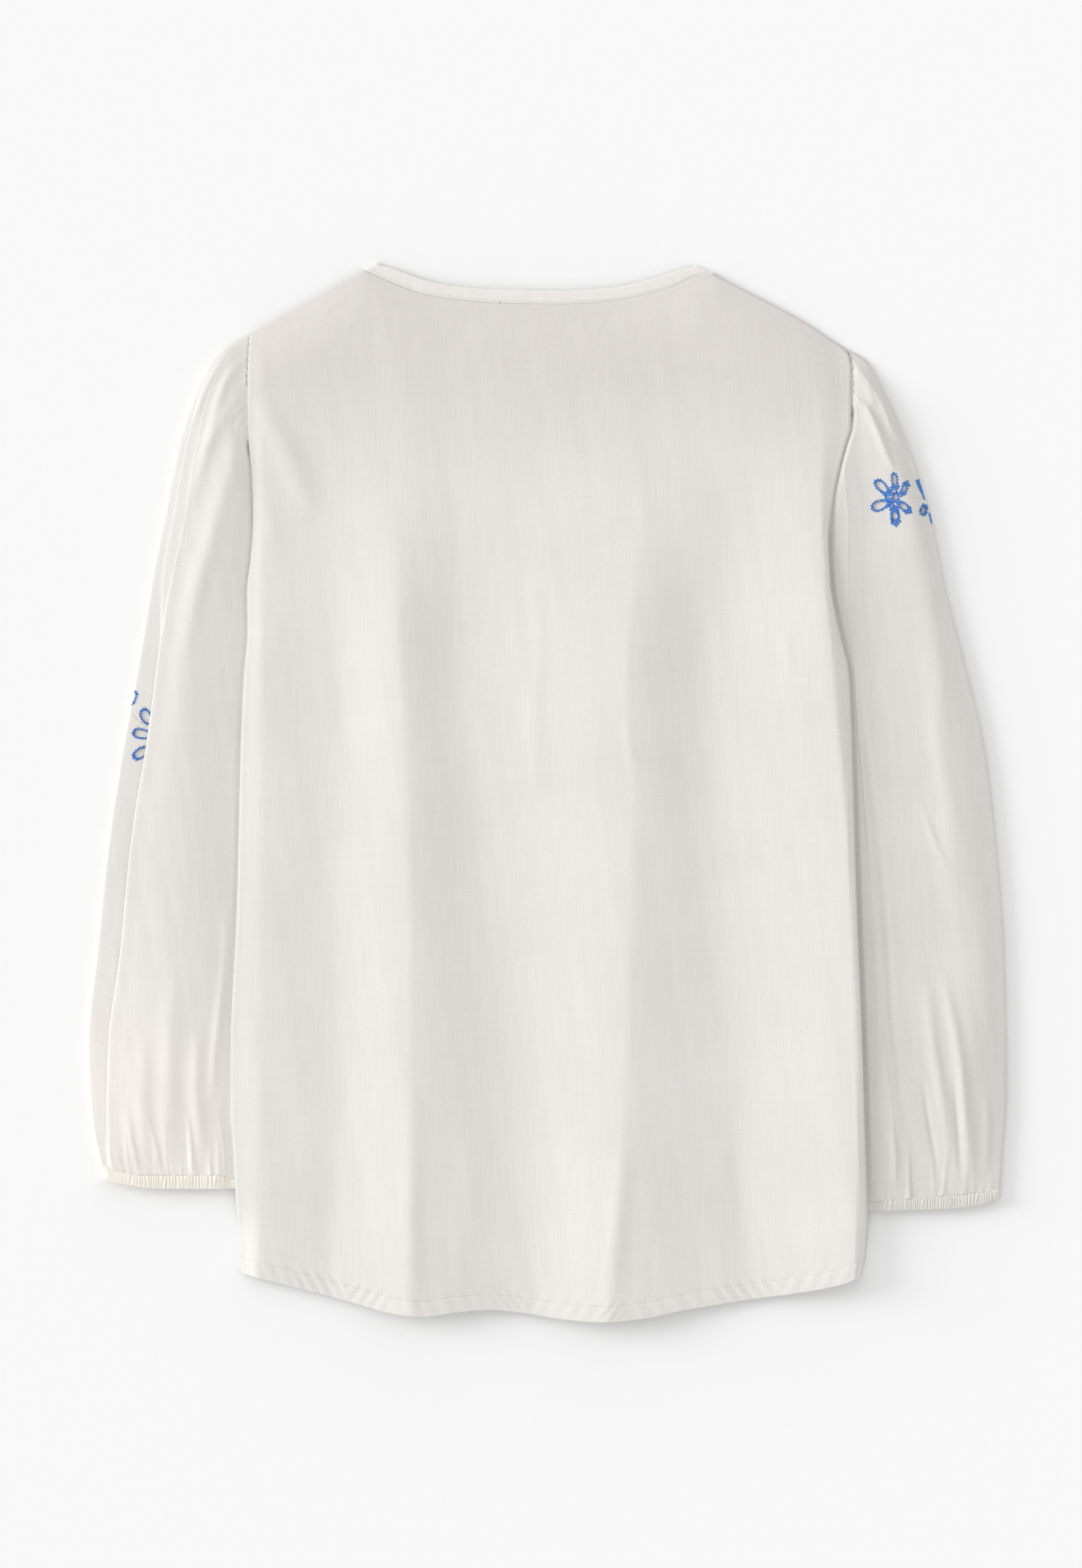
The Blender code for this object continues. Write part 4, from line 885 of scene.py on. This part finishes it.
def embroider(side, upper, grid):
    """Cuts the petals out of a sleeve, and gives the stitches round them."""
    surface = surface_of(grid)
    chance = np.random.default_rng(5)

    def top(spot, near=None):
        hit = surface.ray_cast(Vector((spot[0], spot[1], 60.0)), Vector((0, 0, -1)))[0]
        if hit is None or (near is not None and abs(hit.z - near) > SAME_LAYER):
            return None
        return hit.z

    def stitch(start, end, near, kind=None):
        heights = top(start, near), top(end, near)
        if None not in heights:
            raised = WALL / 2 + 0.12 + 0.12 * chance.random()
            if kind is None:
                kind = chance.choice((MAIN_BLUE, DARK_BLUE, LIGHT_BLUE), p=(0.5, 0.28, 0.22))
            runs.append(((*start, heights[0] + raised), (*end, heights[1] + raised), kind))

    def turns_round(petal, out_by, pitch):
        around = math.pi * ((petal[2] + petal[3]) / 2 + 2 * out_by)
        turns = np.linspace(0, math.tau, int(around / pitch), endpoint=False)
        return turns + 0.3 * pitch * chance.random(len(turns)) / petal[2]

    def reach_of(petal, turn):
        rim, tip, root = petal[5:]
        return rim + tip * max(0, math.cos(turn)) ** 4 + root * max(0, -math.cos(turn)) ** 4

    def add_hole(petal, near):
        outline, _ = eyelet(petal, np.linspace(0, math.tau, EYELET_SIDES, endpoint=False))
        cuts.extend(tube_faces(len(corners), EYELET_SIDES, 2))
        for reach in (-CUTTER_REACH, CUTTER_REACH):
            for spot in outline:
                z = top(spot, near)
                corners.append((*spot, (near if z is None else z) + reach))

    runs, corners, cuts = [], [], []
    for petal in PETALS[side]:
        near = top(petal[:2])
        if petal[3] > SHUT_BELOW:
            add_hole(petal, near)
        out_by = 0.0
        while out_by < petal[5] + max(petal[6:]):
            turns = turns_round(petal, out_by, SATIN_PITCH)
            for turn, spot, way in zip(turns, *eyelet(petal, turns)):
                reach = reach_of(petal, turn)
                if out_by > reach - 0.25:
                    continue
                slant = np.array([-way[1], way[0]]) * chance.uniform(-0.3, 0.3)
                far = min(out_by + STITCH_LENGTH, reach) + chance.uniform(-0.15, 0.12)
                stitch(spot + way * (out_by - 0.1), spot + way * far + slant, near)
            out_by += RING_STEP
        turns = turns_round(petal, petal[5], TOOTH_PITCH)
        for turn, spot, way in zip(turns, *eyelet(petal, turns)):
            reach = reach_of(petal, turn)
            aside = np.array([-way[1], way[0]])
            far = spot + way * (reach + TOOTH_REACH * chance.uniform(0.7, 1.1))
            for share in (-0.34, 0.34):
                stitch(spot + way * (reach - 0.3) + aside * share * 1.4, far + aside * share * 0.5, near)
    for x0, y0, x1, y1, wide0, wide1 in BARS[side]:
        length = math.hypot(x1 - x0, y1 - y0)
        across = np.array([-(y1 - y0), x1 - x0]) / length
        for share in np.arange(0, 1, 0.8 * SATIN_PITCH / length):
            spot = np.array([mix(x0, x1, share), mix(y0, y1, share)])
            near = top(spot)
            ends = []
            for way in (-across, across):
                reach = mix(wide0, wide1, share) / 2 + chance.uniform(-0.1, 0.25)
                while reach > 0.1 and top(spot + way * reach, near) is None:
                    reach *= 0.8
                ends.append(spot + way * reach)
            stitch(*ends, near)
    for start, end in zip(JUMP_THREADS[side], JUMP_THREADS[side][1:]):
        stitch(np.array(start), np.array(end), top(start), CREAM)
    mesh = bpy.data.meshes.new("petal_cutter_" + side)
    mesh.from_pydata((np.array(corners) * MM).tolist(), [], cuts)
    cutter = put_in_scene("petal_cutter_" + side, mesh)
    cut = upper.modifiers.new("cutwork", "BOOLEAN")
    cut.operation, cut.solver, cut.object = "DIFFERENCE", "EXACT", cutter
    bpy.context.view_layer.update()
    carved = bpy.data.meshes.new_from_object(upper.evaluated_get(bpy.context.evaluated_depsgraph_get()))
    upper.modifiers.clear()
    upper.data = carved
    bpy.data.objects.remove(cutter)
    return runs


# The thread's sheen makes each stitch lighter or darker by the way it runs
flower_threads = [
    sewing_thread("glossy_blue_embroidery_thread", "#4a93e2", "#2468c6", roughness=0.42),
    sewing_thread("glossy_blue_embroidery_thread_in_shade", "#2f70c4", "#164a9c", roughness=0.42),
    sewing_thread("glossy_blue_embroidery_thread_in_sheen", "#72afee", "#3f84da", roughness=0.42),
    sewing_thread("cream_backing_thread", "#efe6cf", "#ded3b6"),
]
for side in ("left", "right"):
    threads("flower_stitches_" + side, embroider(side, *sleeves[side]), flower_threads, SATIN_WIDTH)


# Neck binding. A strip of the same cloth, folded double over the neck's raw edge and stitched down
# close to its lower edge. It runs round the whole neck, and is folded at both shoulders.
NECK_UPPER = (
    (-109.4, 341.9), (-99.7, 339.4), (-79.4, 332.0), (-52.6, 327.2), (-20.9, 325.3),
    (8.1, 325.0), (40.7, 326.9), (67.1, 332.4), (86, 338.4), (95.4, 340.6),
)
BINDING_WALL = 0.7
BINDING_POINTS, BACK_STEPS, FRONT_STEPS = 9, 150, 80    # across the strip, and along each half of it
BINDING_OVERLAP = 0.3  # how far its lower edge lies over the panel
BINDING_HEIGHT = {"shoulder": 2.85, "middle": 4.35}
BINDING_CROWN = 0.35   # it is rounded across
BINDING_STITCH = 1.5   # the stitch row's distance from the lower edge
BINDING_PITCH, BINDING_STITCH_LENGTH = 1.35, 0.85
BINDING_RUCKS = ((0.16, 19, 0), (0.12, 31, 2))     # size, how many, where they start
KNOT = ((-31.4, 317.5), (-30.2, 317.2))
neck_upper = curve(NECK_UPPER)
bias_binding = cotton_voile("cotton_bias_binding", "#efece8", "#e5e1dc", grain=0.8)


def waves(table, share):
    """Several waves added up. Each has a size, a number along the whole way, and a start."""
    return sum(size * math.sin(math.tau * number * share + start) for size, number, start in table)


def binding_height(share):
    """Height of the strip along the back's neck, from one shoulder to the other."""
    return mix(BINDING_HEIGHT["shoulder"], BINDING_HEIGHT["middle"], 1 - (2 * share - 1) ** 2)


def binding_grid():
    """The ring's points, along the back and then round the front."""
    across = np.linspace(0, 1, BINDING_POINTS)
    crown = BINDING_CROWN * np.sqrt(np.maximum(1 - (2 * across - 1) ** 2, 0))
    rows = []

    def edge_of_back(x):
        slope = neck_lower(x + 0.5) - neck_lower(x - 0.5)
        away = -BINDING_OVERLAP / math.hypot(1, slope)
        return np.array([x - slope * away, neck_lower(x) + away])

    def strip(upper, lower, z, rise=0.0):
        points = mix(np.array(upper)[None], np.array(lower)[None], across[:, None])
        rows.append(np.column_stack([points, z + rise * crown]))

    upper_ends = [np.array(NECK_UPPER[-1]), np.array(NECK_UPPER[0])]
    lower_ends = [edge_of_back(NECK_RIGHT_X), edge_of_back(NECK_LEFT_X)]
    low = BINDING_WALL / 2
    turn = (BINDING_HEIGHT["shoulder"] - low) / 2

    def fold(upper, lower, rising):
        line = upper - lower
        out = np.array([-line[1], line[0]]) / np.linalg.norm(line)
        out = out if out[1] > 0 else -out
        for degrees in range(15, 180, 15):
            angle = math.radians(180 - degrees if rising else degrees)
            aside = out * turn * math.sin(angle)
            strip(upper + aside, lower + aside, low + turn + turn * math.cos(angle))

    for k in range(BACK_STEPS + 1):
        share = k / BACK_STEPS
        upper_x = mix(NECK_UPPER[-1][0], NECK_UPPER[0][0], share)
        lower = edge_of_back(mix(NECK_RIGHT_X, NECK_LEFT_X, share))
        upper = np.array([upper_x, float(neck_upper(upper_x))])
        strip(upper, lower, binding_height(share), rise=1 + 0.6 * waves(BINDING_RUCKS, share))
    fold(upper_ends[1], lower_ends[1], rising=False)
    for k in range(FRONT_STEPS + 1):
        angle = math.pi * k / FRONT_STEPS
        share = (1 - math.cos(angle)) / 2
        upper_drop = (FRONT_NECK_DEPTH - BINDING_WIDTH / 2) * math.sin(angle)
        lower_drop = (FRONT_NECK_DEPTH + BINDING_WIDTH / 2 - 1) * math.sin(angle)
        upper = mix(upper_ends[1], upper_ends[0], share) - (0, upper_drop)
        lower = mix(lower_ends[1], lower_ends[0], share) - (0, lower_drop)
        strip(upper, lower, low)
    fold(upper_ends[0], lower_ends[0], rising=True)
    return np.array(rows)


def binding_stitches():
    """A row of small stitches close above the strip's lower edge, with a small dark knot in it."""
    runs = []
    for x in np.arange(NECK_LEFT_X + 3, NECK_RIGHT_X - 4, BINDING_PITCH):
        ends = []
        for at in (x, x + BINDING_STITCH_LENGTH):
            share = (NECK_RIGHT_X - at) / (NECK_RIGHT_X - NECK_LEFT_X)
            z = binding_height(share) + BINDING_WALL / 2 + 0.28
            ends.append((at, float(neck_lower(at)) + BINDING_STITCH, z))
        runs.append(ends + [0])
    z = BINDING_HEIGHT["middle"] + BINDING_WALL / 2 + 0.3
    return runs + [((*KNOT[0], z), (*KNOT[1], z), 1)]


binding = cloth("neck_binding_strip", binding_grid(), bias_binding, wall=BINDING_WALL, closed=True)
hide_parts("neck_binding")
binding_row = threads("binding_stitches", binding_stitches(), [white_thread, brown_thread],
                      SEAM_THREAD_WIDTH)


# Cuffs. Each is a narrow casing of the same cloth, gathered tightly over elastic, so that it stands
# in small upright ripples all round. It lies flattened, with the sleeve's end tucked under its edge.
CUFF_LOWER = {
    "left": ((-288.5, -250.0), (-284.5, -252.2), (-270, -255.2), (-253.4, -257.2), (-203.8, -257.4)),
    "right": ((208.0, -272.2), (228.8, -271.2), (259.6, -270.2), (276.5, -268.2), (294.4, -262.6)),
}
CUFF_WALL = 1.0
CUFF_SWELL = 0.7       # the casing swells between its edges
CUFF_GROOVE, CUFF_GROOVE_AT = 0.3, 0.15    # depth, and share of the way from the sleeve's side
CUFF_RIPPLES = {"left": 42, "right": 50}
CUFF_RIPPLE_DEPTH = {"left": 0.44, "right": 0.3}
SMOOTH_END = {"left": (0.08, 0.30), "right": (-0.02, 0.05)}   # its outer end isn't rippled
# The ripples are uneven in their spacing, depth and lean: size, how many, where they start
UNEVEN_SPACING = ((0.008, 3.1, 0), (0.005, 7.7, 1), (0.0025, 16.3, 4))
UNEVEN_DEPTH = ((0.3, 6.3, 1), (0.3, 15.1, 3))
UNEVEN_LEAN = ((1.3, 4.6, 2), (0.8, 11.9, 0))
casings = {
    # Painted light: the left casing is painted lighter than the right one, though it is the same cloth
    "left": cotton_voile("gathered_cotton_casing", "#faf5ec", "#eee8dd", grain=0.9),
    # Painted shade: the right casing is painted darker than the left one
    "right": cotton_voile("gathered_cotton_casing_of_the_right_sleeve_in_painted_shade", "#e1ded8", "#d4d0c9", grain=0.9),
}


def cuff_grid(side):
    """The ring's points: along its rippled top, round one end, back along the ground and up again."""
    upper, lower = curve(CUFF_UPPER[side]), curve(CUFF_LOWER[side])
    low = CUFF_WALL / 2
    tops = {"outer": CUFF_TOP, "inner": CUFF_INNER_TOP}
    left_end, right_end = ("outer", "inner") if side == "left" else ("inner", "outer")
    left_turn, right_turn = (tops[left_end] - low) / 2, (tops[right_end] - low) / 2
    start = CUFF_UPPER[side][0][0] + CUFF_WALL / 2 + left_turn - (CUFF_UNDER if side == "right" else 0)
    end = CUFF_UPPER[side][-1][0] - CUFF_WALL / 2 - right_turn + (CUFF_UNDER if side == "left" else 0)
    ring = []

    def turn_under(middle, radius, first, last):
        for degrees in range(first, last, -15):
            angle = math.radians(degrees)
            x, z = middle + radius * math.cos(angle), low + radius * (1 + math.sin(angle))
            ring.append((x, z, 0, 0, 0, 0))

    steps = 8 * CUFF_RIPPLES[side]
    for k in range(steps + 1):
        share = k / steps
        x = mix(start, end, share)
        from_body = end - x if side == "left" else x - start
        turn = math.tau * CUFF_RIPPLES[side] * (share + waves(UNEVEN_SPACING, share))
        deep = CUFF_RIPPLE_DEPTH[side] * (1 + waves(UNEVEN_DEPTH, share)) * ease(from_body, 2.5, 7)
        deep = deep * ease(share if side == "left" else 1 - share, *SMOOTH_END[side])
        ring.append((x, cuff_height(side, x), deep, 1.0, turn, waves(UNEVEN_LEAN, share)))
    turn_under(end, right_turn, 75, -90)
    for share in np.linspace(0, 1, 40):
        ring.append((mix(end, start, share), low, 0, 0, 0, 0))
    turn_under(start, left_turn, -105, -270)
    ring = np.array(ring)
    # Across the casing the ripples are lower at its edges, with a groove where it is stitched on
    across = np.linspace(0, 1, 17)
    ripples = ring[:, 2:3] * np.cos(ring[:, 4:5] + ring[:, 5:6] * (2 * across - 1)[None])
    ridges = 0.45 + 0.55 * np.sin(math.pi * np.clip(across * 1.15 - 0.1, 0, 1))
    crown = (CUFF_SWELL * (np.sin(math.pi * across) - 0.7)
             - CUFF_GROOVE * np.exp(-((across - CUFF_GROOVE_AT) / 0.06) ** 2))
    x = ring[:, :1] + 0.35 * ripples * np.cos(math.pi * across)[None]
    y = mix(upper(x), lower(x), across[None]) + 0.35 * ripples * (across[None] * 2 - 1)
    z = ring[:, 1:2] + ripples * ridges[None] + ring[:, 3:4] * crown[None]
    return np.stack([x, y, z], axis=-1)


for side in ("left", "right"):
    cuff = cloth("cuff_" + side + "_casing", cuff_grid(side), casings[side], wall=CUFF_WALL, closed=True)
    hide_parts("cuff_" + side)


# Ground. A large sheet of matt white paper under the blouse, evenly lit and almost white.
GROUND_SIZE = 6.0
PAPER_FIBRE = 1.5      # size of the mottle, a few times coarser than the real one


def matt_paper(name, light, dark):
    """Paper: quite matt, with the faint mottle of its fibres."""
    finish, shader, places = new_finish(name, roughness=0.95)
    fibres = noise(finish, places, 1 / (PAPER_FIBRE * MM), 4.0)
    finish.node_tree.links.new(blend(finish, fibres, dark, light), shader.inputs["Base Color"])
    return finish


ground_mesh = bpy.data.meshes.new("ground")
half = GROUND_SIZE / 2
ground_mesh.from_pydata([(-half, -half, 0), (half, -half, 0), (half, half, 0), (-half, half, 0)],
                        [], [(0, 1, 2, 3)])
ground_mesh.materials.append(matt_paper("matt_white_paper", "#f9f9f9", "#f5f5f5"))
ground = put_in_scene("ground", ground_mesh)


# Light and camera. A wide soft light from the upper left over an even white surround, and a camera
# that looks straight down.
VIEW_HEIGHT = 1017.72  # what the picture covers on the ground, from its top to its bottom
VIEW_CENTRE = (-4.18, 5.06)
CAMERA_HEIGHT = 4000.0
SENSOR_HEIGHT = 24.0
WINDOW_DIRECTION = (0.86, -0.27, -0.33)    # the way its light falls, rightwards and down
WINDOW_SPREAD = 30.0   # degrees
WINDOW_LIGHT, SURROUND_LIGHT = 1.65, 0.83
world = bpy.data.worlds.new("white_surround")
world.use_nodes = True
world.node_tree.nodes["Background"].inputs["Color"].default_value = (1, 1, 1, 1)
world.node_tree.nodes["Background"].inputs["Strength"].default_value = SURROUND_LIGHT
bpy.context.scene.world = world
lamp = bpy.data.lights.new("window", "SUN")
lamp.energy = WINDOW_LIGHT
lamp.angle = math.radians(WINDOW_SPREAD)
window_light = put_in_scene("window", lamp)
window_light.rotation_euler = Vector(WINDOW_DIRECTION).to_track_quat("-Z", "Y").to_euler()
lens = bpy.data.cameras.new("overhead")
lens.sensor_fit = "VERTICAL"
lens.sensor_height = SENSOR_HEIGHT
lens.lens = SENSOR_HEIGHT * CAMERA_HEIGHT / VIEW_HEIGHT
lens.clip_end = 20.0
camera = put_in_scene("overhead", lens)
camera.location = (VIEW_CENTRE[0] * MM, VIEW_CENTRE[1] * MM, CAMERA_HEIGHT * MM)
bpy.context.scene.camera = camera
bpy.context.scene.view_settings.view_transform = "Standard"
